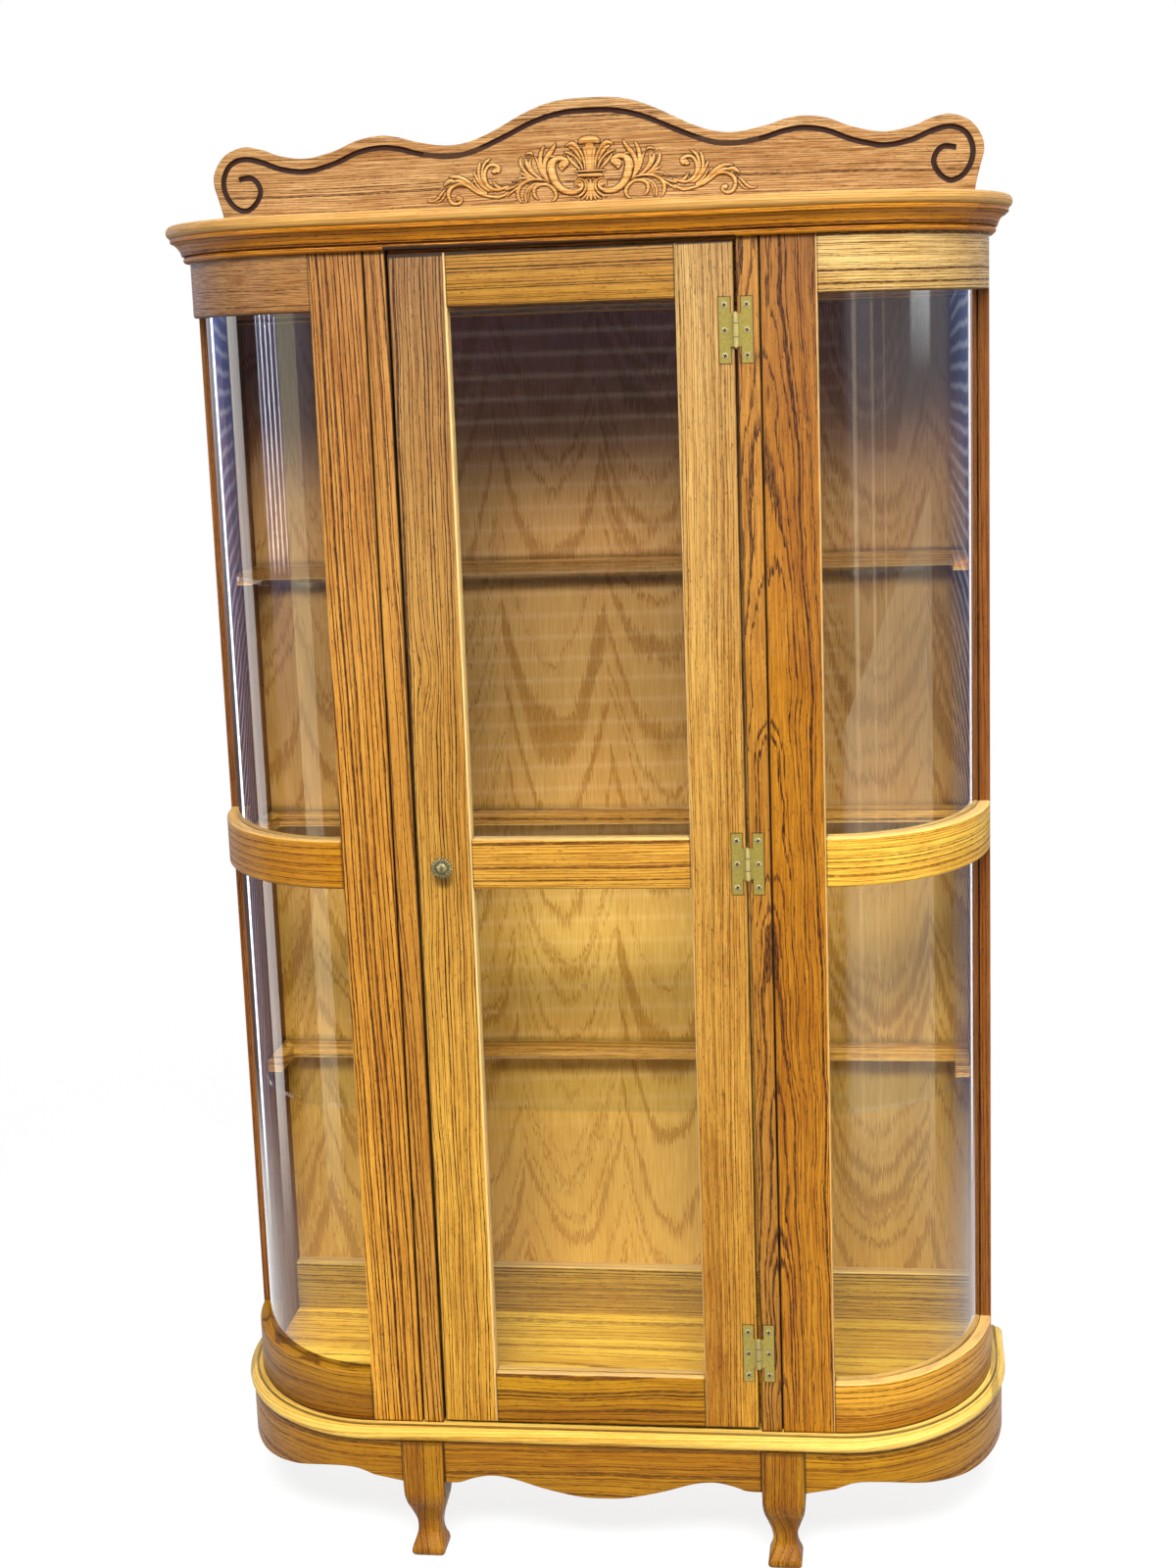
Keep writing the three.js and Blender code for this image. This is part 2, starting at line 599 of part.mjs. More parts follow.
// The carving's plain body: a fan over paired scrolls, with leaf sprays that taper to each side.
function crestCarving() {
  const half = [
    [0, 94], [9, 92], [14, 84], [26, 89], [33, 80], [27, 70], [40, 76], [42, 88], [53, 76], [62, 62],
    [72, 76], [86, 68], [86, 54], [78, 48], [94, 42], [112, 36], [122, 50], [112, 60], [122, 74],
    [138, 62], [144, 46], [140, 34], [160, 44], [178, 36], [184, 22], [201, 14], [186, 15], [176, 26],
    [168, 12], [150, 22], [132, 18], [108, 18], [92, 26], [88, 9], [40, 9], [30, 18], [12, 10], [0, 12],
  ].map(([x, z]) => new THREE.Vector2(x, z));
  const left = half.slice(1, -1).reverse().map((p) => new THREE.Vector2(-p.x, p.y));
  const board = BACK - CREST_THICK;
  return plateAlongY(new THREE.Shape([...half, ...left]), board - RELIEF, board).translate(0, 0, CAP_TOP);
}

// ---------------------------------------------------------------------------------------------
// Door

// Plan section of a door stile: rounded front arrises and the glass slot in the inner edge.
function doorStile() {
  const inner = DOOR_HALF - DOOR_STILE;
  const back = FRONT + DOOR_THICK;
  const shape = new THREE.Shape()
    .moveTo(inner, FRONT + ARRIS)
    .absarc(inner + ARRIS, FRONT + ARRIS, ARRIS, Math.PI, 1.5 * Math.PI)
    .lineTo(DOOR_HALF - EDGE_ROUND, FRONT)
    .absarc(DOOR_HALF - EDGE_ROUND, FRONT + EDGE_ROUND, EDGE_ROUND, -Math.PI / 2, 0)
    .lineTo(DOOR_HALF, back)
    .lineTo(inner, back)
    .lineTo(inner, FRONT + DOOR_SLOT[1])
    .lineTo(inner + SLOT_DEPTH, FRONT + DOOR_SLOT[1])
    .lineTo(inner + SLOT_DEPTH, FRONT + DOOR_SLOT[0])
    .lineTo(inner, FRONT + DOOR_SLOT[0]);
  return upright(shape, DOOR_BOTTOM, DOOR_TOP);
}

// A rail section turned so that it runs straight along X, with a tongue at each end for the stiles'
// slots, in line with the glass.
function doorRail(bottom, top, open) {
  const section = railSection(bottom, top, DOOR_THICK, DOOR_SLOT, open);
  const points = section.getPoints(2).map((p) => [FRONT - p.x, p.y]);
  const half = DOOR_HALF - DOOR_STILE;
  const depth = [FRONT + DOOR_SLOT[0] + FIT, FRONT + DOOR_SLOT[1] - FIT];
  const rail = barAlongX(outlineOf(points.reverse()), -half, half);
  return join(rail, box([-half - TONGUE, half + TONGUE], depth, tongueHeights(bottom, top, open)));
}

function doorGlass(bottom, top) {
  const half = DOOR_HALF - DOOR_STILE + GLASS_EDGE;
  const depth = [FRONT + DOOR_GLASS, FRONT + DOOR_GLASS + GLASS];
  return box([-half, half], depth, [bottom - GLASS_EDGE, top + GLASS_EDGE]);
}

// Turned knob: a flared rosette and stem, and a shallow dome with a raised rim.
function doorKnob() {
  const profile = new THREE.Path()
    .moveTo(0, 0)
    .lineTo(8, 0)
    .lineTo(8, 1.5)
    .quadraticCurveTo(4.8, 3.5, 4.6, 8)
    .quadraticCurveTo(4.8, 13, 9.5, 14.5)
    .absarc(11.2, 16.8, 1.5, -Math.PI / 2, Math.PI / 2)
    .lineTo(9.8, 18.3)
    .quadraticCurveTo(5.5, 21.6, 0, 21.8)
    .getPoints(3);
  return new THREE.LatheGeometry(profile, 20)
    .rotateZ(Math.PI)
    .translate(KNOB.x, FRONT, KNOB.z);
}

// ---------------------------------------------------------------------------------------------
// Hinges and catch

// Leaves reach from `near` to `outer` of the axis, and the upright bar of the H begins at `inner`.
const HINGE = {
  height: 72, barrel: 36, radius: 3.3, pin: 1.55, bore: 1.63, finial: 2.4,
  leaf: 1.4, waist: 36, near: 2, inner: 6.2, outer: 18.5,
};
const KNUCKLE_GAP = 0.3;

// One leaf of an H hinge lying on the front plane: an upright bar, its bridge and its knuckles.
function hingeLeaf(side, knuckles) {
  const { height, radius, leaf, waist } = HINGE;
  const [near, inner, outer] = [HINGE.near, HINGE.inner, HINGE.outer].map((d) => HINGE_AXIS.x + side * d);
  const shape = outlineOf([
    [outer, -height / 2], [outer, height / 2], [inner, height / 2], [inner, waist / 2],
    [near, waist / 2], [near, -waist / 2], [inner, -waist / 2], [inner, -height / 2],
  ]);
  const plate = plateAlongY(shape, FRONT - leaf, FRONT);
  const reliefs = otherSpans(knuckles).map(([from, to]) =>
    rod(radius + KNUCKLE_GAP, from - KNUCKLE_GAP, to + KNUCKLE_GAP));
  const barrels = knuckles.map(([from, to]) => rod(radius, from, to));
  return { seated: cut(plate, ...reliefs), barrels };
}

// An upright cylinder about the hinge axis.
const rod = (radius, from, to) =>
  new THREE.CylinderGeometry(radius, radius, to - from, 12)
    .rotateX(Math.PI / 2)
    .translate(HINGE_AXIS.x, HINGE_AXIS.y, (from + to) / 2);

const THIRD = HINGE.barrel / 6;
const FRAME_KNUCKLES = [[-3 * THIRD, -THIRD - KNUCKLE_GAP], [THIRD + KNUCKLE_GAP, 3 * THIRD]];
const DOOR_KNUCKLES = [[-THIRD, THIRD]];
const otherSpans = (knuckles) => (knuckles === DOOR_KNUCKLES ? FRAME_KNUCKLES : DOOR_KNUCKLES);

// The frame leaf keeps the pin, which runs through both knuckles and ends in two small finials.
function frameLeaf(height) {
  const { seated, barrels } = hingeLeaf(1, FRAME_KNUCKLES);
  const pin = rod(HINGE.pin, -HINGE.barrel / 2, HINGE.barrel / 2);
  const finials = [-1, 1].map((end) =>
    new THREE.SphereGeometry(HINGE.finial, 10, 6).translate(HINGE_AXIS.x, HINGE_AXIS.y, (end * HINGE.barrel) / 2));
  return join(seated, ...barrels, pin, ...finials).translate(0, 0, height);
}

function doorLeaf(height) {
  const { seated, barrels } = hingeLeaf(-1, DOOR_KNUCKLES);
  const bore = rod(HINGE.bore, -HINGE.barrel / 4, HINGE.barrel / 4);
  return cut(join(seated, ...barrels), bore).translate(0, 0, height);
}

// Magnetic catch screwed behind the latch-side narrow stile, and its steel plate on the door.
const CATCH = { z: BASE_TOP + 1290, block: [-214, -184], blockHeight: 42, blockDepth: 14 };
const PLATE = { x: [-193, -180], height: 32, thick: 1.5 };

const standingOn = (face, depth, x, height) =>
  box(x, [face, face + depth], [CATCH.z - height / 2, CATCH.z + height / 2]);
const catchBlock = () =>
  standingOn(FRONT + NARROW_THICK, CATCH.blockDepth, CATCH.block, CATCH.blockHeight);
const catchPlate = () => standingOn(FRONT + DOOR_THICK, PLATE.thick, PLATE.x, PLATE.height);

// ---------------------------------------------------------------------------------------------
// Assembly

const cabinet = new THREE.Group();
cabinet.name = "china_cabinet";
const carcass = new THREE.Group();
const door = new THREE.Group();
cabinet.add(carcass, door);

function place(group, name, geometry, material) {
  const mesh = new THREE.Mesh(geometry, material);
  mesh.name = name;
  group.add(mesh);
  return mesh;
}

// The right-hand piece, and its mirror image on the left.
function placePair(group, name, makeGeometry, makeMaterial) {
  place(group, `${name}_right`, makeGeometry(), makeMaterial());
  place(group, `${name}_left`, makeGeometry(), makeMaterial()).scale.x = -1;
}

place(carcass, "base_board", baseBoard(), oakNosing());
place(carcass, "front_apron", frontApron(), oakFront());
placePair(carcass, "side_apron", sideApron, oakFront);
placePair(carcass, "front_leg", frontLeg, oakFront);
placePair(carcass, "rear_leg", rearLeg, oakFront);

const middle = MIDDLE_RAIL.map((z) => BASE_TOP + z);
const lowerTop = BASE_TOP + LOWER_RAIL;
const upperBottom = FRAME_TOP - UPPER_RAIL;
const open = { openBelow: true, openAbove: true };
placePair(carcass, "lower_rail", () => curvedRail(BASE_TOP, lowerTop, { openAbove: true }), oakFront);
placePair(carcass, "middle_rail", () => curvedRail(...middle, open), oakFront);
placePair(carcass, "upper_rail", () => curvedRail(upperBottom, CAP_BOTTOM, { openBelow: true }), oakTop);
placePair(carcass, "lower_bow_glass",
  () => curvedGlass(lowerTop - GLASS_EDGE, middle[0] + GLASS_EDGE), clearGlass);
placePair(carcass, "upper_bow_glass",
  () => curvedGlass(middle[1] - GLASS_EDGE, upperBottom + GLASS_EDGE), clearGlass);

placePair(carcass, "wide_stile", () => join(wideStile(), ...shelfPegs()), oakFront);
placePair(carcass, "narrow_stile", narrowStile, oakFront);
placePair(carcass, "side_board", sideBoard, oakInside);
place(carcass, "head_rail",
  box([-NARROW_STILE[0], NARROW_STILE[0]], [FRONT, FRONT + DOOR_THICK], [FRAME_TOP, CAP_BOTTOM]), oakFront());
place(carcass, "back_panel", backPanel(), oakInside());
place(carcass, "back_rail", lowerBackRail(), oakInside());
place(carcass, "top_back_rail", topBackRail(), oakInside());
place(carcass, "deck", deck(), oakInside());
place(carcass, "case_top", caseTop(), oakInside());
["lower", "middle", "upper"].forEach((level, i) => {
  place(carcass, `${level}_shelf_cleat`, shelfCleat(SHELF_HEIGHTS[i]), oakInside());
  place(carcass, `${level}_glass_shelf`, glassShelf(SHELF_HEIGHTS[i]), clearGlass());
});

place(carcass, "cornice_front", corniceFront(), oakTop());
placePair(carcass, "cornice_return", corniceReturn, oakTop);
place(carcass, "cornice_cap", corniceCap(), oakNosing());
place(carcass, "crest_board", crestBoard(), oakTop());
place(carcass, "crest_carving", crestCarving(), oakCarving());

placePair(door, "door_stile", doorStile, oakFront);
const railLevels = {
  bottom: [DOOR_BOTTOM, DOOR_BOTTOM + DOOR_BOTTOM_RAIL, { openAbove: true }],
  middle: [...DOOR_MIDDLE_RAIL.map((z) => BASE_TOP + z), open],
  top: [DOOR_TOP - DOOR_TOP_RAIL, DOOR_TOP, { openBelow: true }],
};
for (const [level, values] of Object.entries(railLevels)) {
  place(door, `door_${level}_rail`, doorRail(...values), oakFront());
}
place(door, "door_lower_glass", doorGlass(railLevels.bottom[1], railLevels.middle[0]), clearGlass());
place(door, "door_upper_glass", doorGlass(railLevels.middle[1], railLevels.top[0]), clearGlass());
place(door, "door_knob", doorKnob(), brass());

["bottom", "middle", "top"].forEach((level, i) => {
  const height = BASE_TOP + HINGE_HEIGHTS[i];
  place(carcass, `${level}_hinge_frame_leaf`, frameLeaf(height), brass());
  place(door, `${level}_hinge_door_leaf`, doorLeaf(height), brass());
});
place(carcass, "magnetic_catch", catchBlock(), oakInside());
place(door, "catch_plate", catchPlate(), brass());

export default cabinet;
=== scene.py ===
import bmesh
import bpy
import math
import numpy as np
from contextlib import contextmanager
from mathutils import Matrix, Vector


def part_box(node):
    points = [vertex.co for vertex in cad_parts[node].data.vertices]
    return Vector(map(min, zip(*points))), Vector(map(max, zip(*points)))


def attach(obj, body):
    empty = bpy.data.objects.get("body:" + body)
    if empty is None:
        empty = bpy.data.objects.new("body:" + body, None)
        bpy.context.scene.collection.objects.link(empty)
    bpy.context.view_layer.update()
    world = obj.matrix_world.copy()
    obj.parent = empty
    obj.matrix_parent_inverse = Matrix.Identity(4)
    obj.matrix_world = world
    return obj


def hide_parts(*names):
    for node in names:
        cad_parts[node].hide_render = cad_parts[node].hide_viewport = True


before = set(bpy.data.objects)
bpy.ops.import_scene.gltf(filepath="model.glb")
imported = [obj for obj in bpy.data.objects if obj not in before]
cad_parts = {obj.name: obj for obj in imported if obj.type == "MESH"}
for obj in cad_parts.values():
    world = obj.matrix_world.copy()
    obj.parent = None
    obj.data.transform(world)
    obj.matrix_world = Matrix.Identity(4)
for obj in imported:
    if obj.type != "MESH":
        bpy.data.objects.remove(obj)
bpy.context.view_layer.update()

low = lambda name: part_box(name)[0]
high = lambda name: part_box(name)[1]
heights = lambda name: (low(name).z, high(name).z)
middleHeight = lambda name: sum(heights(name)) / 2
levels = ("bottom", "middle", "top")

# The plan in metres: a flat front, a quarter ellipse at each end and straight sides to the wall.
sideInset = 0.001  # how far the side boards stand inside it
plan = {
    "flatHalf": high("wide_stile_right").x,
    "bowWidth": high("side_board_right").x - high("wide_stile_right").x + sideInset,
    "bowDepth": 0.233,
    "front": low("narrow_stile_right").y,
}
plan["bowArc"] = math.pi / 2 * math.sqrt((plan["bowWidth"] ** 2 + plan["bowDepth"] ** 2) / 2)
backFace = high("crest_board").y
baseTop = low("wide_stile_right").z
capBottom = low("cornice_cap").z
capTop = high("cornice_cap").z
railRun = low("side_board_right").y - plan["front"]
endOfBow = plan["flatHalf"] + plan["bowArc"]
endOfSide = endOfBow + backFace - plan["front"] - plan["bowDepth"]


def linkObject(name, data, material=None):
    obj = bpy.data.objects.new(name, data)
    bpy.context.scene.collection.objects.link(obj)
    if material is not None:
        data.materials.clear()
        data.materials.append(material)
    return obj


# Node trees: the tree being built is the last one here, and its wires can stand in sums

trees = []


class Wire:
    # an output of a node
    def __init__(self, socket):
        self.socket = socket

    def __add__(self, other):
        return calc("ADD", self, other)

    def __sub__(self, other):
        return calc("SUBTRACT", self, other)

    def __rsub__(self, other):
        return calc("SUBTRACT", other, self)

    def __mul__(self, other):
        return calc("MULTIPLY", self, other)

    def __truediv__(self, other):
        return calc("DIVIDE", self, other)

    def __abs__(self):
        return calc("ABSOLUTE", self)

    __radd__, __rmul__ = __add__, __mul__


def startTree(owner):
    # the empty node tree of a material or a world
    owner.use_nodes = True
    trees.append(owner.node_tree)
    owner.node_tree.nodes.clear()
    return owner


def startGroup(name, kind, inputs, outputs):
    # a node group whose sockets are given by name and type, and the wires that enter it
    trees.append(bpy.data.node_groups.new(name, kind))
    for way, sockets in (("INPUT", inputs), ("OUTPUT", outputs)):
        for socket, form in sockets.items():
            trees[-1].interface.new_socket(socket, in_out=way, socket_type="NodeSocket" + form)
    return trees[-1], node("NodeGroupInput")


def feed(made, inputs):
    for key, value in inputs.items():
        if isinstance(value, Wire):
            trees[-1].links.new(value.socket, made.inputs[key])
        else:
            made.inputs[key].default_value = value


def node(kind, inputs={}, **settings):
    # a new node, given back as its outputs by number and by name
    made = trees[-1].nodes.new(kind if "Node" in kind else "ShaderNode" + kind)
    for name, value in settings.items():
        setattr(made, name, value)
    feed(made, inputs)
    return {key: Wire(socket) for key, socket in [*enumerate(made.outputs), *made.outputs.items()]}


def calc(operation, *values, kind="Math"):
    return node(kind, dict(enumerate(values)), operation=operation)[0]


def vectorCalc(operation, *values):
    return calc(operation, *values, kind="VectorMath")


def scaled(vector, amount):
    return node("VectorMath", {0: vector, 3: amount}, operation="SCALE")[0]


def mixColour(share, first, second, blend="MIX"):
    return node("Mix", {0: share, 6: first, 7: second}, data_type="RGBA", blend_type=blend)[2]


def mixShader(share, first, second):
    return node("MixShader", {0: share, 1: first, 2: second})[0]


def ranged(value, first, last, bottom=0.0, top=1.0, kind="LINEAR"):
    return node("MapRange", {0: value, 1: first, 2: last, 3: bottom, 4: top}, interpolation_type=kind)[0]


def clamped(value, top=1.0):
    return node("Clamp", {0: value, "Max": top})[0]


def attribute(name, output="Fac"):
    return node("Attribute", attribute_name=name)[output]


def parts(vector):
    made = node("SeparateXYZ", {0: vector})
    return [made[axis] for axis in range(3)]


def combined(x=0.0, y=0.0, z=0.0):
    return node("CombineXYZ", {0: x, 1: y, 2: z})[0]


def ramp(share, *stops):
    made = trees[-1].nodes.new("ShaderNodeValToRGB")
    feed(made, {0: share})
    elements = made.color_ramp.elements
    elements.remove(elements[1])
    elements[0].position, elements[0].color = stops[0]
    for place, colour in stops[1:]:
        elements.new(place).color = colour
    return Wire(made.outputs[0])


grey = lambda v: (v, v, v, 1)
solid = lambda colour: (*colour, 1)


def rays():
    # mirrored rays, and the rays that show the background: straight from the camera or through glass
    path = node("LightPath")
    return path["Is Glossy Ray"], calc("MAXIMUM", path["Is Camera Ray"], path["Is Transmission Ray"])


# Camera, light and floor

view = {
    "place": (0.371, -2.7325, 1.4885), "yaw": -0.138, "pitch": -0.193, "roll": -0.036, "lens": 52.73,
    "sensor": 36, "nearest": 0.05,
}


def makeCamera():
    data = bpy.data.cameras.new("camera")
    data.lens, data.sensor_width, data.clip_start = view["lens"], view["sensor"], view["nearest"]
    cam = linkObject("camera", data)
    yaw, pitch, roll = view["yaw"], view["pitch"], view["roll"]
    ahead = Vector((math.sin(yaw) * math.cos(pitch), math.cos(yaw) * math.cos(pitch), math.sin(pitch)))
    right = ahead.cross(Vector((0, 0, 1))).normalized()
    up = right.cross(ahead)
    turnedRight = math.cos(roll) * right + math.sin(roll) * up
    turnedUp = math.cos(roll) * up - math.sin(roll) * right
    cam.matrix_world = Matrix((turnedRight, turnedUp, -ahead)).transposed().to_4x4()
    cam.location = view["place"]
    bpy.context.scene.camera = cam


studio = {
    "ambient": 0.14, "ambientColour": (0.96, 0.97, 1.0),
    # power, size, place, point aimed at and spread in degrees
    "lamps": {
        "overhead": (78, (4.4, 2.4), (0.5, -2.2, 3.6), (0, 0, 0.9), 180),
        "lowFront": (42, (2.6, 1.2), (0.3, -3.6, 3.9), (0, 0, 0.3), 50),
        "right": (38, (1.4, 1.4), (2.6, -1.8, 3.0), (0.3, 0, 0.8), 180),
        "lowRight": (6, (1.0, 1.0), (2.6, -2.6, 1.0), (0.3, 0, 0.5), 180),
        "behind": (60, (3.0, 2.0), (0.0, 3.2, 2.6), (0, 0, 0.9), 180),
    },
    "floorColour": (0.93, 0.93, 0.92), "floorBounce": (0.52, 0.46, 0.38), "floorGlow": 0.84,
    "floorCorners": [(-8, -6, 0), (8, -6, 0), (8, 10, 0), (-8, 10, 0)],
    # distances over which the floor fades to white, and out of what polished surfaces mirror
    "fade": (0.9, 2.6), "far": (1.1, 2.2),
}

# What polished surfaces mirror: a dim bluish room ahead, windows to each side and white behind. Angles are
# degrees from ahead of the door, negative to the left. A shape has a first and last angle ("turn"), and some
# have a lowest and highest level or lines at a pitch, each with the softness of its ends.
room = {
    "bright": 8.0, "lift": (-0.17, 0.03, 0.25, 1.65),
    "round": [
        (-180, (0.10, 0.10, 0.10)), (-150, (0.03, 0.03, 0.035)), (-136, (0.03, 0.04, 0.06)),
        (-131, (0.02, 0.033, 0.085)), (-108, (0.025, 0.036, 0.08)), (-92, (0.01, 0.008, 0.008)),
        (-74, (0.02, 0.018, 0.02)), (-72, (0.11, 0.135, 0.25)), (-50, (0.13, 0.15, 0.27)),
        (-30, (0.13, 0.145, 0.16)), (-12, (0.025, 0.025, 0.03)), (18, (0.042, 0.042, 0.05)),
        (28, (0.19, 0.205, 0.235)), (76, (0.19, 0.19, 0.20)), (112, (0.08, 0.08, 0.09)),
        (119, (0.026, 0.036, 0.066)), (143, (0.026, 0.036, 0.07)), (153, (0.05, 0.05, 0.05)),
        (180, (0.12, 0.12, 0.12)),
    ],
    # pale folds that fan out over the blue at both ends, from an angle on the left and one further on the right
    "folds": {
        "colour": (1.15, 1.3, 1.7), "ends": ((-131, -110, 1.5), (119, 144, 1.5)), "fanFrom": 110.0, "further": 12.0,
        "level": -0.0245, "apart": 0.0072, "spread": 0.0135, "uneven": 1.2, "often": (0.05, 14.0),
        "line": (0.2, 0.4, 0.16),
    },
    "boards": {"colour": (1.3, 1.15, 1.0), "pitch": 0.0093, "line": (0.12, 0.32, 0.08), "turn": (-22, 16, 6)},
    "slats": {"colour": (19.0, 19.0, 19.5), "pitch": 5.0, "line": (0.33, 0.60, 0.05),
              "turn": (-72.5, -52.5, 0.5), "level": (-0.092, 0.3, 0.006)},
    "window": {"colour": (7.5, 8.0, 8.0), "turn": (79, 97, 1.5), "level": (0.0, 0.3, 0.02)},
    "haze": {"colour": (1.5, 1.4, 1.5), "turn": (43, 78, 1.0), "level": (0.005, 0.5, 0.03)},
    # widens downwards from its first edge (angle, and degrees for each unit up) and is brighter ahead
    "wedge": {"colour": (0.92, 0.94, 0.84), "edge": (152, 805), "end": 98, "turn": (16, 300, 4),
              "bright": (30.0, 105.0, 3.6, 1.8)},
    "strips": [
        (-139, -133, (3.2, 3.3, 3.4)), (-108, -95, (3.4, 3.3, 3.2)), (-51, -33, (4.4, 4.2, 3.2)),
        (27, 30.5, (5.6, 5.0, 4.0)), (43, 45.5, (4.6, 4.1, 3.4)), (54, 55.4, (4.0, 3.5, 3.0)),
        (62, 63, (2.0, 1.8, 1.5)), (69, 70, (1.6, 1.4, 1.2)), (145, 149, (2.6, 2.5, 2.4)),
    ],
    "stripSoft": 0.6,
}


def between(value, first, last, soft):
    # 1 inside a range, with soft ends
    return ranged(value, first - soft, first + soft) - ranged(value, last - soft, last + soft)


def makeFolds(degrees, height):
    use = room["folds"]
    inner = calc("GREATER_THAN", degrees, 0.0) * use["further"] + use["fanFrom"]
    apart = ((abs(degrees) - inner) * use["spread"] + 1.0) * use["apart"]
    stretched = vectorCalc("MULTIPLY", combined(degrees, height), (*use["often"], 0.0))
    uneven = node("TexNoise", {"Vector": stretched, "Scale": 1.0, "Detail": 1.0})[0]
    fan = calc("FRACT", uneven * use["uneven"] + (height - use["level"]) / apart)
    left, right = (between(degrees, *end) for end in use["ends"])
    return between(fan, *use["line"]) * (left + right)


def makeWorld():
    bpy.context.scene.world = startTree(bpy.data.worlds.new("studio"))
    gloss, seen = rays()
    x, y, height = parts(node("TexCoord")["Generated"])
    degrees = calc("ARCTAN2", x, y * -1.0) * (180 / math.pi)
    mirror = ramp(degrees * (1 / 360) + 0.5, *(((180 + turn) / 360, solid(c)) for turn, c in room["round"]))
    mirror = scaled(mirror, ranged(height, *room["lift"]) * room["bright"])
    shapes = [(makeFolds(degrees, height), solid(room["folds"]["colour"]))]
    for name, measure in (("boards", height), ("slats", degrees), ("window", None), ("haze", None)):
        use = room[name]
        share = between(degrees, *use["turn"])
        if "pitch" in use:
            share = share * between(calc("FRACT", measure / use["pitch"]), *use["line"])
        if "level" in use:
            share = share * between(height, *use["level"])
        shapes.append((share, solid(use["colour"])))
    use = room["wedge"]
    start, slope = use["edge"]
    share = clamped(calc("MINIMUM", degrees - (height * slope + start), use["end"] - degrees))
    shapes.append((share * between(degrees, *use["turn"]),
                   scaled(use["colour"], ranged(degrees, *use["bright"]))))
    shapes += [(between(degrees, first, last, room["stripSoft"]), solid(c)) for first, last, c in room["strips"]]
    for share, colour in shapes:
        mirror = mixColour(share, mirror, colour)
    ambient = node("Background", {0: solid(studio["ambientColour"]), 1: studio["ambient"]})[0]
    shown = mixShader(gloss, ambient, node("Background", {0: mirror, 1: 1.0})[0])
    node("OutputWorld", {0: mixShader(seen, shown, node("Background", {0: grey(1.0), 1: 1.0})[0])})


def makeLamps():
    for name, (power, size, place, target, spread) in studio["lamps"].items():
        data = bpy.data.lights.new(name, "AREA")
        data.shape, data.energy, data.spread = "RECTANGLE", power, math.radians(spread)
        data.size, data.size_y = size
        lamp = linkObject(name, data)
        lamp.location = place
        lamp.rotation_euler = (Vector(target) - Vector(place)).to_track_quat("-Z", "Y").to_euler()
        lamp.visible_glossy = name == "overhead"


def makeFloor():
    # the floor shows white with a soft shadow on it, and fades into the white background further out
    material = startTree(bpy.data.materials.new("floor"))
    gloss, seen = rays()
    away = node("VectorMath", {0: node("TexCoord")["Object"]}, operation="LENGTH")["Value"]
    share = ranged(away, *studio["fade"], studio["floorGlow"], 1.0, "SMOOTHSTEP")
    shaded = node("BsdfDiffuse", {0: solid(studio["floorColour"])})[0]
    pale = mixShader(share, shaded, node("Emission", {0: grey(1.0), 1: 1.0})[0])
    dull = node("BsdfDiffuse", {0: solid(studio["floorBounce"])})[0]
    near = mixShader(calc("MAXIMUM", seen, gloss), dull, pale)
    # further out, polished surfaces mirror the room instead
    far = ranged(away, *studio["far"], kind="SMOOTHSTEP")
    node("OutputMaterial", {0: mixShader(far * gloss, near, node("BsdfTransparent", {0: grey(1)})[0])})
    mesh = bpy.data.meshes.new("floor")
    mesh.from_pydata(studio["floorCorners"], [], [(0, 1, 2, 3)])
    linkObject("floor", mesh, material)


makeCamera()
makeWorld()
makeLamps()
makeFloor()
bpy.context.scene.view_settings.view_transform = "Standard"
print("studio ready")


# Oak: growth rings round a heart line, rows of open pores, fibre and slow changes of tone

oakColours = {
    "pale": (0.66, 0.335, 0.060), "warm": (0.30, 0.101, 0.0070), "line": (0.072, 0.017, 0.0008),
    "pore": (0.020, 0.0042, 0.0002),
}
oakNumbers = ("ring", "heartAcross", "heartDeep", "lean", "wander", "wave", "ragged", "band", "lines", "pores",
              "fibre", "streaks", "tones", "knot", "taper")
# how often each kind of unevenness comes along and across the grain, its detail, and what it is turned into
unevenness = {
    "drift": ((2.2, 9, 9), 2.5), "waves": ((8, 16, 16), 1.5), "ragged": ((26, 520, 520), 1.5),
    "fibre": ((24, 620, 620), 2.5), "brokenRows": ((70, 420, 420), 2.5, 0.36, 0.52, 0.45),
    "pores": ((95, 1100, 1100), 1.0, 0.44, 0.52), "strewn": ((150, 900, 900), 1.0, 0.66, 0.71),
    "tone": ((1.6, 20, 20), 2.5, 0.3, 0.7, -0.5, 0.5), "streak": ((6, 60, 60), 3.5, 0.56, 0.72),
}
oakShape = {
    "knotReach": (24, 70, 0), "ringsVary": 2.2, "ringsVaryOften": (36.0, 1.5), "strengthOften": (190.0, 1.0),
    "strength": (0.3, 0.55, 0.55), "earlyRise": 0.10, "earlyFall": 0.6, "streakTwist": 0.8,
    "earlyShade": 0.4, "strewn": 0.7, "lineDepth": -0.3, "rough": 0.38, "fibreRough": 0.12, "poreRough": 0.3,
}


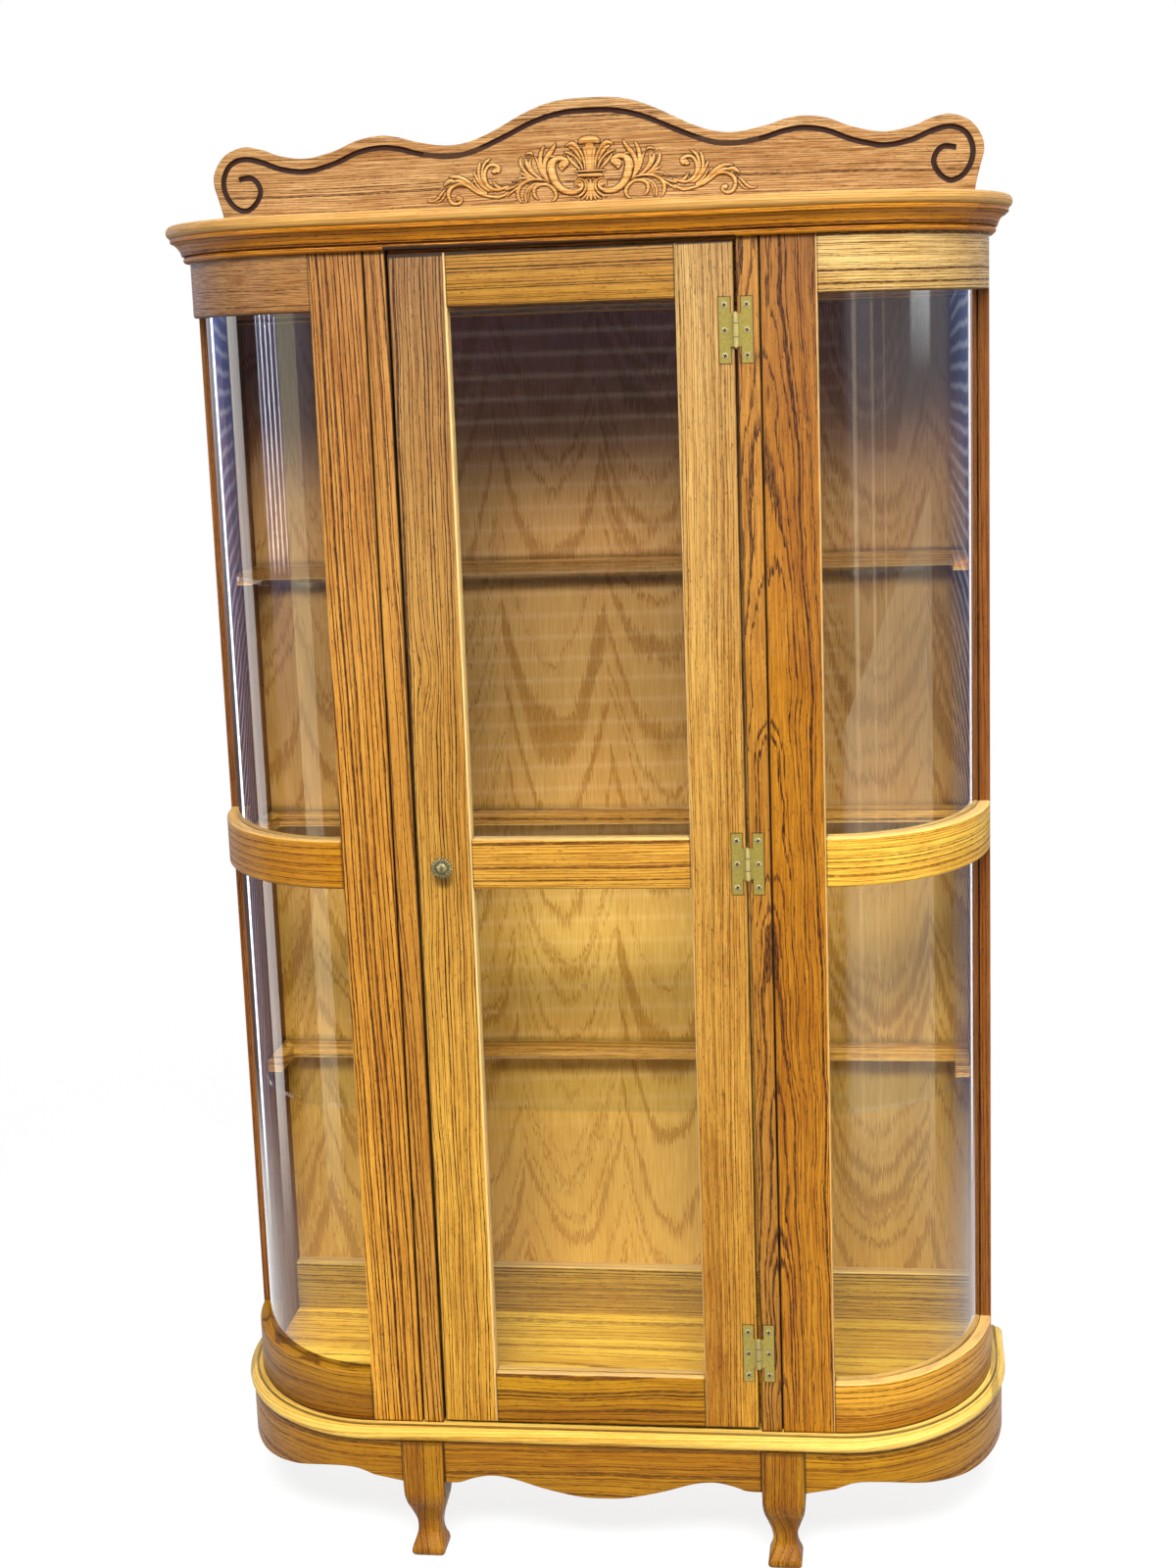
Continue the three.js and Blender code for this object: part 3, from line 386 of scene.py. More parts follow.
def makeOakFigure():
    tree, given = startGroup(
        "oakFigure", "ShaderNodeTree",
        {"vector": "Vector", **dict.fromkeys(oakNumbers, "Float"), "knotPlace": "Vector",
         **dict.fromkeys(oakColours, "Color")},
        {"Color": "Color", "Height": "Float", "Roughness": "Float"})

    def noise(name, output=0, twist=0.0):
        often, detail, *span = unevenness[name]
        stretched = vectorCalc("MULTIPLY", given["vector"], often)
        made = node("TexNoise", {"Vector": stretched, "Scale": 1.0, "Detail": detail, "Distortion": twist})[output]
        return ranged(made, *span) if span else made

    def noiseAlong(value, often, detail):
        return node("TexNoise", {"W": value * often, "Detail": detail}, noise_dimensions="1D")[0]

    def drift(name, amount):
        return scaled(vectorCalc("SUBTRACT", noise(name, 1), (0.5, 0.5, 0.5)), given[amount])

    # the growth rings, counted outwards from a heart line that wanders and leans to the board
    use = oakShape
    drifted = vectorCalc("ADD", given["vector"], vectorCalc("ADD", drift("drift", "wander"), drift("waves", "wave")))
    along, across, deep = parts(drifted)
    across = across - given["heartAcross"]
    deep = deep + along * given["lean"] - given["heartDeep"]
    fromKnot = vectorCalc("SUBTRACT", given["vector"], given["knotPlace"])
    fromKnot = vectorCalc("MULTIPLY", fromKnot, use["knotReach"])
    hump = calc("EXPONENT", node("VectorMath", {0: fromKnot, 1: fromKnot}, operation="DOT_PRODUCT")["Value"] * -1.0)
    outwards = calc("SQRT", across * across + deep * deep) + hump * given["knot"]
    outwards = outwards + (noise("ragged") - 0.5) * given["ragged"] + along * given["taper"]
    vary = noiseAlong(outwards, *use["ringsVaryOften"]) * use["ringsVary"]
    ring = calc("FRACT", vary + outwards / given["ring"])
    # early wood fills the first share of each ring, and is itself weaker or stronger from ring to ring
    early = ramp(ring / given["band"], (0.0, grey(0)), (use["earlyRise"], grey(1)), (use["earlyFall"], grey(1)),
                 (1.0, grey(0)))
    early = early * ranged(noiseAlong(outwards, *use["strengthOften"]), *use["strength"])

    # between the rows of pores, where others are strewn, the wood runs from pale to warm
    fibre = noise("fibre")
    shade = early * use["earlyShade"] + noise("tone") * given["tones"] + (fibre - 0.5) * given["fibre"] + 0.5
    lines = early * given["lines"] * noise("brokenRows")
    pitted = calc("MAXIMUM", noise("pores") * early, noise("strewn") * use["strewn"])
    colour = mixColour(clamped(shade), given["pale"], given["warm"])
    colour = mixColour(lines, colour, given["line"])
    colour = mixColour(noise("streak", 0, use["streakTwist"]) * given["streaks"], colour, given["line"])
    colour = mixColour(pitted * given["pores"], colour, given["pore"])
    rough = pitted * use["poreRough"] + fibre * use["fibreRough"] + use["rough"]
    node("NodeGroupOutput", {0: colour, 1: lines * use["lineDepth"] - pitted, 2: rough})
    return tree


oakFigure = makeOakFigure()

# grain is the axis that the fibres follow, or "bent" for a piece that carries its own straight coordinates
oakDefaults = {
    "grain": "z", "shift": (0, 0, 0), "ring": 0.0040, "heartAcross": 0.24, "heartDeep": 0.12, "lean": 0.02,
    "wander": 0.010, "wave": 0.0, "ragged": 0.0014, "band": 0.37, "lines": 1.0, "pores": 0.9, "fibre": 1.5,
    "streaks": 0.15, "tones": 0.5, "knot": 0.0, "knotPlace": (0, 0, 0),
    "taper": 0.0,  # how fast the rings narrow along the board, which points their figure
    "arris": (),  # painted highlights along edges where light catches them: axis, place on it, reach, and how much paler
    "seams": (),  # dark joints and patches, and painted shade in creases, under nosings and over parts of the inside: axis, place on it, reach, and how much darker
    "plates": None,  # first and last x of the hinge leaves, round whose outline a shadow is painted
    "tone": (1.0, 1.0, 1.0), "contrast": 1.0, "leaf": 0.0, "gaps": False,
    "hollow": 0.0,  # how dark the painted shade in the recesses marked on the mesh is
    "foot": None,  # tone near the floor, where it differs from the tone near the top; it paints the fall of light down the board
    "bands": (),  # further painted light and shade by height: height, tone
    "rear": None,  # a plain tone for the face behind a depth: depth, tone
}
# the colours of the marks: a painted highlight along edges, dark joints with painted shade, painted shadow in the gaps
# and painted shade in recesses
oakFinish = {
    "arris": (0.74, 0.50, 0.20), "seams": (0.035, 0.012, 0.003), "gap": (0.014, 0.006, 0.0025),
    "recess": (0.022, 0.006, 0.003), "leafStep": 0.43, "plateRim": 0.0012, "plateShadow": 0.75, "plateFace": 0.0005,
    "markCore": 0.6, "bump": 0.5, "bumpDepth": 0.0004, "coat": 0.03, "coatRough": 0.18, "specular": 0.22,
}

# the narrow gaps round the door and beside the narrow stiles, where shadow is painted on the faces inside them and on
# their rims
gaps = {"upright": (0.195, 0.222), "wide": 0.0035, "behind": 0.0010, "soft": 0.0012, "stain": 0.0032,
        "fade": 0.0014, "sag": 0.0065, "topExtra": 0.0028, "pastDoor": 0.002,
        # how dark the painted shadow is behind the face and on it: beside the door, beside the stiles, above the door
        # and below it
        "dark": ((0.92, 0.75), (0.9, 0.25), (0.95, 0.97), (0.92, 0.9))}


def gapShade(x, y, z):
    # painted shadow: dark behind the front face in each gap, fading over the rims beside it
    behind = clamped((y - (plan["front"] + gaps["behind"])) / gaps["soft"])
    outer = abs(x)
    belowHead = calc("LESS_THAN", z, low("head_rail").z)
    atDoor = calc("LESS_THAN", outer, gaps["upright"][0] + gaps["pastDoor"])
    # the door hangs a little low at its free side, so the painted shadow above it widens to the left
    topReach = x * -gaps["sag"] + (gaps["stain"] + gaps["topExtra"])
    footReach = x * gaps["sag"] + gaps["stain"]
    paintedShadow = 0.0
    for (deep, shallow), (value, middle, reach, where) in zip(gaps["dark"], (
            (outer, gaps["upright"][0], gaps["stain"], belowHead),
            (outer, gaps["upright"][1], gaps["stain"], belowHead),
            (z, (high("door_top_rail").z + low("head_rail").z) / 2, topReach, atDoor),
            (z, (low("door_bottom_rail").z + baseTop) / 2, footReach, atDoor))):
        dark = behind * calc("COMPARE", value, middle, gaps["wide"]) * deep
        rim = clamped((reach - abs(value - middle)) / gaps["fade"] * shallow, shallow)
        paintedShadow = calc("MAXIMUM", paintedShadow, calc("MAXIMUM", dark, rim) * where)
    return paintedShadow


def plateShade(x, y, z, first, last):
    # painted shadow round the outline of the three hinge leaves on the front face
    rim = oakFinish["plateRim"]
    across = calc("COMPARE", x, (first + last) / 2, (last - first) / 2 + rim)
    across = across * calc("LESS_THAN", y, plan["front"] + oakFinish["plateFace"])
    shade = 0.0
    for level in levels:
        bottom, top = heights(level + "_hinge_frame_leaf")
        along = calc("COMPARE", z, (bottom + top) / 2, (top - bottom) / 2 + rim)
        shade = calc("MAXIMUM", shade, across * along * oakFinish["plateShadow"])
    return shade


def makeOak(name, **values):
    use = {**oakDefaults, **values}
    material = startTree(bpy.data.materials.new(name))
    axes = parts(node("TexCoord")["Object"])
    x, y, z = axes
    own = parts(attribute("grain", "Vector")) if use["grain"] == "bent" else axes
    along, across, deep = (own[axis] for axis in ((2, 0, 1) if use["grain"] == "z" else (0, 2, 1)))
    if use["leaf"]:
        # veneer laid up in leaves, each with its own heart line
        count = calc("FLOOR", across / use["leaf"])
        across = across - (count * use["leaf"] + use["leaf"] / 2)
        along = count * oakFinish["leafStep"] + along
    tint = {key: solid([max(0.0, mean + (v - mean) * use["contrast"]) for v, mean in zip(colour, oakColours["warm"])])
            for key, colour in oakColours.items()}
    figure = node("Group", {
        "vector": node("Mapping", {0: combined(along, across, deep), 1: use["shift"]})[0],
        "knotPlace": [a + b for a, b in zip(use["knotPlace"], use["shift"])],
        **{key: use[key] for key in oakNumbers}, **tint}, node_tree=oakFigure)
    # painted light: the tone runs from the foot to the top of the case, and bands add lighter and darker heights
    height = ranged(z, baseTop, capBottom)
    tone = mixColour(height, solid(use["foot"] or use["tone"]), solid(use["tone"]))
    if use["bands"]:
        stops = (((level - baseTop) / (capBottom - baseTop), solid(band)) for level, band in use["bands"])
        tone = mixColour(1.0, tone, ramp(height, *stops), "MULTIPLY")
    if use["rear"]:
        tone = mixColour(calc("GREATER_THAN", y, use["rear"][0]), tone, solid(use["rear"][1]))
    colour = mixColour(1.0, figure["Color"], tone, "MULTIPLY")
    # painted shadow in the gaps round the door and beside the narrow stiles, and on their rims
    if use["gaps"]:
        colour = mixColour(gapShade(x, y, z), colour, solid(oakFinish["gap"]))
    # painted shade in the recesses marked on the mesh
    if use["hollow"]:
        colour = mixColour(attribute("hollow") * use["hollow"], colour, solid(oakFinish["recess"]))
    # edge marks paint highlights along edges; the other marks darken joints and patches and paint shade in creases,
    # under nosings and inside the case
    for marks in ("arris", "seams"):
        # axes 3, 4 and 5 are a bent piece's own straight ones
        for axis, edge, reach, much in use[marks]:
            share = ranged(abs([*axes, *own][axis] - edge), reach * oakFinish["markCore"], reach, much, 0.0)
            colour = mixColour(share, colour, solid(oakFinish[marks]))
    # painted shadow round the hinge leaves
    if use["plates"]:
        colour = mixColour(plateShade(x, y, z, *use["plates"]), colour, solid(oakFinish["seams"]))
    bump = node("Bump", {"Height": figure["Height"], "Strength": oakFinish["bump"],
                         "Distance": oakFinish["bumpDepth"]})[0]
    shader = node("BsdfPrincipled", {
        "Base Color": colour, "Roughness": figure["Roughness"], "Normal": bump, "Coat Weight": oakFinish["coat"],
        "Coat Roughness": oakFinish["coatRough"], "Specular IOR Level": oakFinish["specular"]})
    node("OutputMaterial", {0: shader[0]})
    return material


# Glass and brass

# a pane mirrors little when looked at squarely and much at a glancing angle
glassLook = {"tint": (0.972, 0.982, 0.972), "square": 0.028, "glancing": 1.55, "ior": 1.5, "least": 0.04,
             "rough": 0.012}


def makeGlass(name, **values):
    use = {**glassLook, **values}
    material = startTree(bpy.data.materials.new(name))
    share = (node("Fresnel", {"IOR": use["ior"]})[0] - use["least"]) * use["glancing"] + use["square"]
    share = clamped(share * (1.0 - node("NewGeometry")["Backfacing"]))
    clear = node("BsdfTransparent", {0: solid(use["tint"])})[0]
    mirror = node("BsdfGlossy", {"Color": grey(1), "Roughness": use["rough"]})[0]
    node("OutputMaterial", {0: mixShader(share, clear, mirror)})
    return material


brassLook = {
    "bright": (0.29, 0.228, 0.045), "tarnish": (0.12, 0.09, 0.028), "recess": (0.02, 0.014, 0.006), "scale": 420.0,
    "detail": 3.0, "blotch": (0.4, 0.75), "amount": 0.45, "metallic": 0.45, "rough": 0.34, "dulled": 0.3,
    "proud": None,  # colour of the hinge barrels, lighter the further they stand out
    "barrel": (0.0026, 0.0040),  # how far they stand out
    "knuckle": (0.0075, 0.0004),  # where their knuckles meet, up and down from the middle, and half the joint, which is painted with shade
}


def makeBrass(name, **values):
    use = {**brassLook, **values}
    material = startTree(bpy.data.materials.new(name))
    place = node("TexCoord")["Object"]
    x, y, z = parts(place)
    blotch = node("TexNoise", {"Vector": place, "Scale": use["scale"], "Detail": use["detail"]})[0]
    worn = ranged(blotch, *use["blotch"], 0.0, use["amount"])
    colour = mixColour(worn, solid(use["bright"]), solid(use["tarnish"]))
    if use["proud"]:
        out = ranged(plan["front"] - y, *use["barrel"])
        colour = mixColour(out, colour, solid(use["proud"]))
        # painted shade in the joints between the knuckles
        for level in levels:
            joint = calc("COMPARE", abs(z - middleHeight(level + "_hinge_frame_leaf")), *use["knuckle"])
            colour = mixColour(joint * out, colour, solid(use["recess"]))
    # painted shade in the recesses marked on the mesh
    colour = mixColour(attribute("hollow"), colour, solid(use["recess"]))
    shader = node("BsdfPrincipled", {"Base Color": colour, "Roughness": worn * use["dulled"] + use["rough"],
                                     "Metallic": use["metallic"]})
    node("OutputMaterial", {0: shader[0]})
    return material


clearGlass = makeGlass("clearGlass")
shelfGlass = makeGlass("shelfGlass", square=0.02, glancing=0.7, tint=(0.962, 0.98, 0.968))
agedBrass = makeBrass("agedBrass", proud=(0.29, 0.235, 0.08))
screwBrass = makeBrass("screwBrass", bright=(0.30, 0.25, 0.12), amount=0.3, metallic=0.6)
knobBrass = makeBrass("knobBrass", bright=(0.22, 0.185, 0.085), tarnish=(0.04, 0.032, 0.014), metallic=0.8,
                      rough=0.2, amount=0.8)

# Every board is its own cut of oak: first what a group of boards shares, then what each has of its own. The tones also
# paint light and shade, so the right-hand rails, side apron and cornice, lit from the right, are lighter than the
# left-hand ones
# a dark joint with painted shade where the stiles stand on the base
stileFoot = (2, 0.175, 0.003, 0.7)
doorSides = ((0, 0.1285, 0.0016, 0.6), (0, -0.1285, 0.0016, 0.6))
oakBoards = [
    (dict(gaps=True, shift=(0.3, 0.1, 0), heartDeep=0.3, ring=0.0037, seams=(stileFoot,)), {
        "wideStileLeft": dict(tone=(0.58, 0.55, 0.66), foot=(0.93, 0.92, 0.53), lines=0.95, fibre=1.8),
        "narrowStileLeft": dict(tone=(0.58, 0.56, 0.68), foot=(0.79, 0.79, 0.55), lines=0.85),
    }),
    (dict(gaps=True, shift=(2.3, 0.0, 0.0), heartAcross=0.222, heartDeep=-0.088, lean=0.03, wander=0.012, wave=0.014,
          band=0.36, ragged=0.0022, fibre=2.0, ring=0.0036, seams=(stileFoot,)), {
        "wideStileRight": dict(streaks=0.2, tone=(0.39, 0.31, 0.15), foot=(0.68, 0.59, 0.17), lines=0.62,
                               arris=((0, 0.2855, 0.0022, 0.5),)),
        "narrowStileRight": dict(streaks=0.25, tone=(0.55, 0.51, 0.39), lines=0.65, plates=(0.2012, 0.2135)),
    }),
    (dict(gaps=True, wander=0.012, fibre=1.8), {
        "doorStileLeft": dict(shift=(4.2, 0.1, 0.3), tone=(0.41, 0.44, 0.81), foot=(0.92, 1.0, 0.61), wave=0.007,
                              knot=0.009, knotPlace=(1.112, -0.171, 0), arris=((0, -0.1282, 0.003, 0.75),)),
        "doorStileRight": dict(shift=(5.2, 0.232, 0.1), tone=(0.63, 0.78, 1.38), foot=(0.79, 0.8, 0.46), wave=0.003,
                               lines=0.5, band=0.32, ring=0.0035, plates=(0.1765, 0.1888),
                               arris=((0, 0.1282, 0.0022, 0.55),)),
    }),
    (dict(gaps=True, grain="x"), {
        "doorTopRail": dict(shift=(0.2, 0.3, 0), tone=(0.56, 0.57, 0.47), seams=(*doorSides, (2, 1.524, 0.0016, 0.6))),
        "doorMiddleRail": dict(shift=(1.2, 0.3, 0), tone=(0.92, 1.04, 0.87), contrast=0.85,
                               arris=((2, 0.913, 0.0014, 0.5),), seams=(*doorSides, (2, 0.853, 0.0016, 0.5))),
        "doorBottomRail": dict(shift=(2.2, 0.3, 0), tone=(0.64, 0.66, 0.1), lines=0.7, tones=0.9, wave=0.012,
                               ring=0.0045, contrast=0.8, arris=((2, 0.243, 0.0014, 0.5),), seams=doorSides),
        "headRail": dict(shift=(3.2, 0.3, 0), tone=(0.6, 0.5, 0.4)),
    }),
    (dict(gaps=True, grain="bent"), {
        "upperRailRight": dict(shift=(0.4, 0.1, 0), tone=(0.95, 1.34, 2.83), lines=0.7, ring=0.0032,
                               seams=((0, 0.285, 0.0022, 0.55), (2, 1.5245, 0.0022, 0.5))),
        "upperRailLeft": dict(shift=(0.9, 0.4, 0), tone=(0.53, 0.54, 0.99), ring=0.0018, lines=0.3, fibre=2.6,
                              seams=((0, -0.285, 0.0022, 0.55), (2, 1.5245, 0.0022, 0.5))),
        "middleRailRight": dict(shift=(1.4, 0.1, 0), tone=(1.41, 1.85, 1.5), lines=0.45, ring=0.0032, contrast=0.8,
                                arris=((2, 0.912, 0.0016, 0.6),), seams=((0, 0.285, 0.0022, 0.6),)),
        "middleRailLeft": dict(shift=(1.9, 0.1, 0), tone=(0.81, 0.8, 0.17), lines=0.6, ring=0.0036, contrast=0.8,
                               arris=((2, 0.912, 0.0014, 0.4),),
                               seams=((0, -0.285, 0.0022, 0.5), (2, 0.854, 0.0022, 0.5))),
        "cornice": dict(shift=(5.4, 0.1, 0), tone=(0.78, 0.61, 0.08)),
    }),
    # the lower rails' marks at the base are a dark joint with painted shade; the others are dark joints at the stiles
    (dict(gaps=True, grain="bent", heartAcross=0.02, heartDeep=0.05, contrast=0.75), {
        "lowerRailRight": dict(shift=(2.4, 0.1, 0), tone=(0.97, 1.03, 0.54), lines=0.6, tones=0.8, wave=0.01,
                               ring=0.0045, arris=((2, 0.238, 0.0014, 0.5),),
                               seams=((2, 0.175, 0.004, 0.7), (0, 0.285, 0.0022, 0.6))),
        "lowerRailLeft": dict(shift=(2.9, 0.1, 0), tone=(0.53, 0.5, 0.08), lines=0.55, tones=0.9, wave=0.012,
                              ring=0.0048, seams=((2, 0.175, 0.004, 0.7), (0, -0.285, 0.0022, 0.6))),
    }),
    (dict(grain="bent"), {
        # the base edging's tone is light enough to paint the highlight on its nosing; its marks are darker patches on
        # each bow and painted shade in the step
        "baseEdging": dict(shift=(3.4, 0.1, 0), tone=(1.59, 2.5, 3.94), lines=0.05, pores=0.4, fibre=0.7,
                           contrast=0.6,
                           seams=((0, -0.487, 0.01, 0.35), (0, 0.4815, 0.006, 0.45), (4, 0.007, 0.0016, 0.75))),
        "capEdging": dict(shift=(4.4, 0.1, 0), tone=(1.1, 1.4, 2.6), lines=0.08, pores=0.3, tones=0.3, fibre=0.9,
                          contrast=0.7),
        "corniceRight": dict(shift=(5.9, 0.1, 0), tone=(0.73, 0.58, 0.09)),
        "corniceLeft": dict(shift=(6.4, 0.1, 0), tone=(0.64, 0.47, 0.09)),
    }),
    (dict(grain="x"), {
        "baseCore": dict(shift=(3.4, 0.5, 0)),
        "capCore": dict(shift=(4.4, 0.5, 0)),
        "caseTop": dict(shift=(11.4, 0.5, 0)),
        "crest": dict(shift=(6.4, 0.5, 0), heartAcross=0.05, heartDeep=0.06, wander=0.02, tone=(0.86, 1.03, 2.35),
                      hollow=1.0, lines=0.4, ring=0.0027, fibre=2.2),
        "carving": dict(shift=(7.4, 0.5, 0), tone=(1.5, 2.0, 4.9), lines=0.1, hollow=0.95, pores=0.3, contrast=0.7),
        "backRail": dict(shift=(10.4, 0.5, 0), tone=(0.85, 1.05, 0.78), arris=((2, 0.259, 0.0016, 0.5),)),
        "topBackRail": dict(shift=(12.4, 0.5, 0), tone=(0.8, 0.72, 1.15)),
        # the deck's tone is lifted to paint light on it, and its marks paint shade over the middle and the right
        "deck": dict(shift=(10.9, 0.5, 0), tone=(2.04, 2.84, 1.97), lines=0.28, tones=0.9, contrast=0.6,
                     seams=((0, 0.0, 0.26, 0.21), (0, 0.42, 0.2, 0.36))),
        # the cleats are painted lighter towards the floor, and their marks paint a highlight along the top edge of
        # each
        "cleat": dict(shift=(11.9, 0.5, 0), tone=(1.0, 0.92, 1.25), foot=(1.9, 2.1, 2.6), lines=0.3,
                      arris=tuple((2, top, 0.0025, 0.5) for top in (0.5555, 0.8705, 1.1945))),
    }),
    # the aprons' marks at the base's underside paint the shadow under its nosing; the others are dark joints at the
    # legs
    (dict(heartAcross=0.02, heartDeep=0.05, tones=0.9, ring=0.005, fibre=1.8), {
        "frontApron": dict(grain="x", shift=(7.1, 0.2, 0), tone=(0.63, 0.62, 0.08), lines=0.5, wave=0.01,
                           contrast=0.72,
                           seams=((0, 0.196, 0.0024, 0.7), (0, -0.196, 0.0024, 0.7), (2, 0.155, 0.004, 0.6))),
        "sideApronRight": dict(grain="bent", shift=(7.6, 0.2, 0), tone=(0.75, 0.79, 0.08), lines=0.4, wave=0.012,
                               contrast=0.7, seams=((0, 0.248, 0.0024, 0.7), (2, 0.155, 0.004, 0.6))),
        "sideApronLeft": dict(grain="bent", shift=(8.1, 0.2, 0), tone=(0.65, 0.64, 0.08), lines=0.4, wave=0.012,
                              contrast=0.7, seams=((0, -0.248, 0.0024, 0.7), (2, 0.155, 0.004, 0.6))),
    }),
    # the legs' marks at the base's underside paint the shadow under its nosing; the others are dark joints at the
    # aprons
    (dict(lines=0.4, tones=1.0, fibre=1.8, contrast=0.7), {
        name: dict(shift=(shift, 0.2, 0), tone=tone,
                   seams=((2, 0.155, 0.004, 0.5), (0, way * 0.248, 0.0018, 0.6), (0, way * 0.196, 0.0018, 0.6)))
        for name, way, shift, tone in (("legRight", 1, 8.4, (0.57, 0.55, 0.08)),
                                       ("legLeft", -1, 8.9, (0.55, 0.52, 0.08)))
    }),
    (dict(), {
        "rearLeg": dict(shift=(9.4, 0.2, 0), tone=(0.7, 0.65, 0.3)),
        "sideBoard": dict(shift=(9.9, 0.2, 0), tone=(0.38, 0.27, 0.22), lines=0.6),
        # the back panel's tone, foot and bands paint the light inside the case: dark and purplish near the top,
        # painting the shade under the case top and the cool reflection of the glass, lighter lower down, with lighter
        # and darker heights; its marks paint shade over the bays, and its back face keeps a plain tone
        "backPanel": dict(
            shift=(0.7, 0, 0), leaf=0.135, heartAcross=0.0, heartDeep=0.01, lean=0.0, ring=0.0115, ragged=0.0065,
            band=0.34, wander=0.024, lines=0.42, pores=0.1, contrast=0.45, tone=(0.62, 0.62, 3.4),
            foot=(1.75, 2.35, 3.2), fibre=1.3, tones=0.3, taper=-0.11, wave=0.006,
            bands=((0.44, (0.89, 0.9, 0.87)), (0.675, (1.36, 1.48, 1.4)), (0.86, (1.05, 1.1, 1.05)),
                   (1.016, (0.88, 0.92, 0.85)), (1.295, (1.12, 1.23, 0.98)), (1.478, (0.7, 0.66, 1.35))),
            seams=((0, 0.38, 0.13, 0.26), (0, -0.38, 0.1, 0.06)), rear=(0.1625, (1.0, 1.1, 1.3))),
    }),
]
oak = {name: makeOak(name + "Oak", **shared, **own) for shared, group in oakBoards for name, own in group.items()}
print("materials ready")


# Mesh helpers

@contextmanager
def meshEdit(mesh):
    work = bmesh.new()
    work.from_mesh(mesh)
    yield work
    work.to_mesh(mesh)
    work.free()


def meshOf(name, points, faces):
    mesh = bpy.data.meshes.new(name)
    mesh.from_pydata([tuple(p) for p in points], [], faces)
    mesh.validate()
    return mesh


def ringFaces(rows, count, start=0):
    # the faces between rings of points that follow one another
    return [(a + i, a + (i + 1) % count, a + count + (i + 1) % count, a + count + i)
            for a in range(start, start + (rows - 1) * count, count) for i in range(count)]


def closedSolid(name, points, faces, material=None):
    mesh = meshOf(name, points, faces)
    with meshEdit(mesh) as work:
        bmesh.ops.recalc_face_normals(work, faces=work.faces)
    return linkObject(name, mesh, material)


def skin(name, rings, material=None):
    # a closed solid over rings of points, flat at both ends
    count, rows = len(rings[0]), len(rings)
    faces = [tuple(reversed(range(count))), *ringFaces(rows, count), tuple(range((rows - 1) * count, rows * count))]
    return closedSolid(name, [point for ring in rings for point in ring], faces, material)


def markHollow(mesh, values, domain="POINT"):
    mesh.attributes.new("hollow", "FLOAT", domain).data.foreach_set("value", values)


def smooth(obj, angle=32):
    mesh = obj.data
    mesh.polygons.foreach_set("use_smooth", [True] * len(mesh.polygons))
    mesh.set_sharp_from_angle(angle=math.radians(angle))
    return obj


def settle(obj, body, slot, *nodes, angle=32):
    smooth(obj, angle)
    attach(obj, body)
    if nodes:
        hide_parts(*nodes)


def applied(obj):
    # the object with its modifiers turned into a plain mesh
    graph = bpy.context.evaluated_depsgraph_get()
    mesh = bpy.data.meshes.new_from_object(obj.evaluated_get(graph))
    obj.modifiers.clear()
    obj.data = mesh
    return obj


def shaped(obj, tree, **values):
    # the object as a geometry node group with these inputs makes it
    change = obj.modifiers.new(tree.name, "NODES")
    change.node_group = tree
    for item in tree.interface.items_tree:
        if item.in_out == "INPUT" and item.name in values:
            change[item.identifier] = values[item.name]
    return applied(obj)


def finishGroup(geometry, material):
    real = node("GeometryNodeRealizeInstances", {0: geometry})[0]
    node("NodeGroupOutput", {0: node("GeometryNodeSetMaterial", {"Geometry": real, "Material": material})[0]})


easing = {
    "width": 0.0006, "segments": 2, "sharp": math.radians(40), "flat": math.radians(0.6), "profile": 0.6,
    "merge": 1e-5, "sameDepth": 1e-7,
}


def easedBoard(name, board, body, slot):
    # a copy of a CAD node with its sharp edges eased
    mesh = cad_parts[name].data.copy()
    with meshEdit(mesh) as work:
        bmesh.ops.remove_doubles(work, verts=work.verts, dist=easing["merge"])
        bmesh.ops.dissolve_limit(work, angle_limit=easing["flat"], verts=work.verts, edges=work.edges)
        sharp = [e for e in work.edges if len(e.link_faces) == 2 and e.calc_face_angle() > easing["sharp"]]
        bmesh.ops.bevel(work, geom=sharp, offset=easing["width"], segments=easing["segments"], affect="EDGES",
                        profile=easing["profile"], clamp_overlap=True)
        bmesh.ops.recalc_face_normals(work, faces=work.faces)
    settle(linkObject(name + "_eased", mesh, board), body, slot, name)


# boards that are eased, by body and slot
easedBoards = {
    ("root", "oak_front"): ("wide_stile_right", "wide_stile_left", "narrow_stile_right", "narrow_stile_left",
                            "head_rail", "rear_leg_right", "rear_leg_left"),
    ("root", "oak_inside"): ("back_rail", "top_back_rail", "lower_shelf_cleat", "middle_shelf_cleat",
                             "upper_shelf_cleat"),
    ("door", "oak_front"): ("door_stile_right", "door_stile_left", "door_top_rail", "door_middle_rail",
                            "door_bottom_rail"),
}


def makeEasedBoards():
    for (body, slot), names in easedBoards.items():
        for name in names:
            # a board's own oak, or the one that all rear legs or cleats share
            first, *rest = name.split("_")
            own = first + "".join(word.capitalize() for word in rest)
            easedBoard(name, oak[own if own in oak else "rearLeg" if first == "rear" else "cleat"], body, slot)


# Pieces bent along the plan. Each is made straight, with u along the plan, then out from the case and
# z up, and Geometry Nodes bend it round the two bows and keep its straight place as "grain".

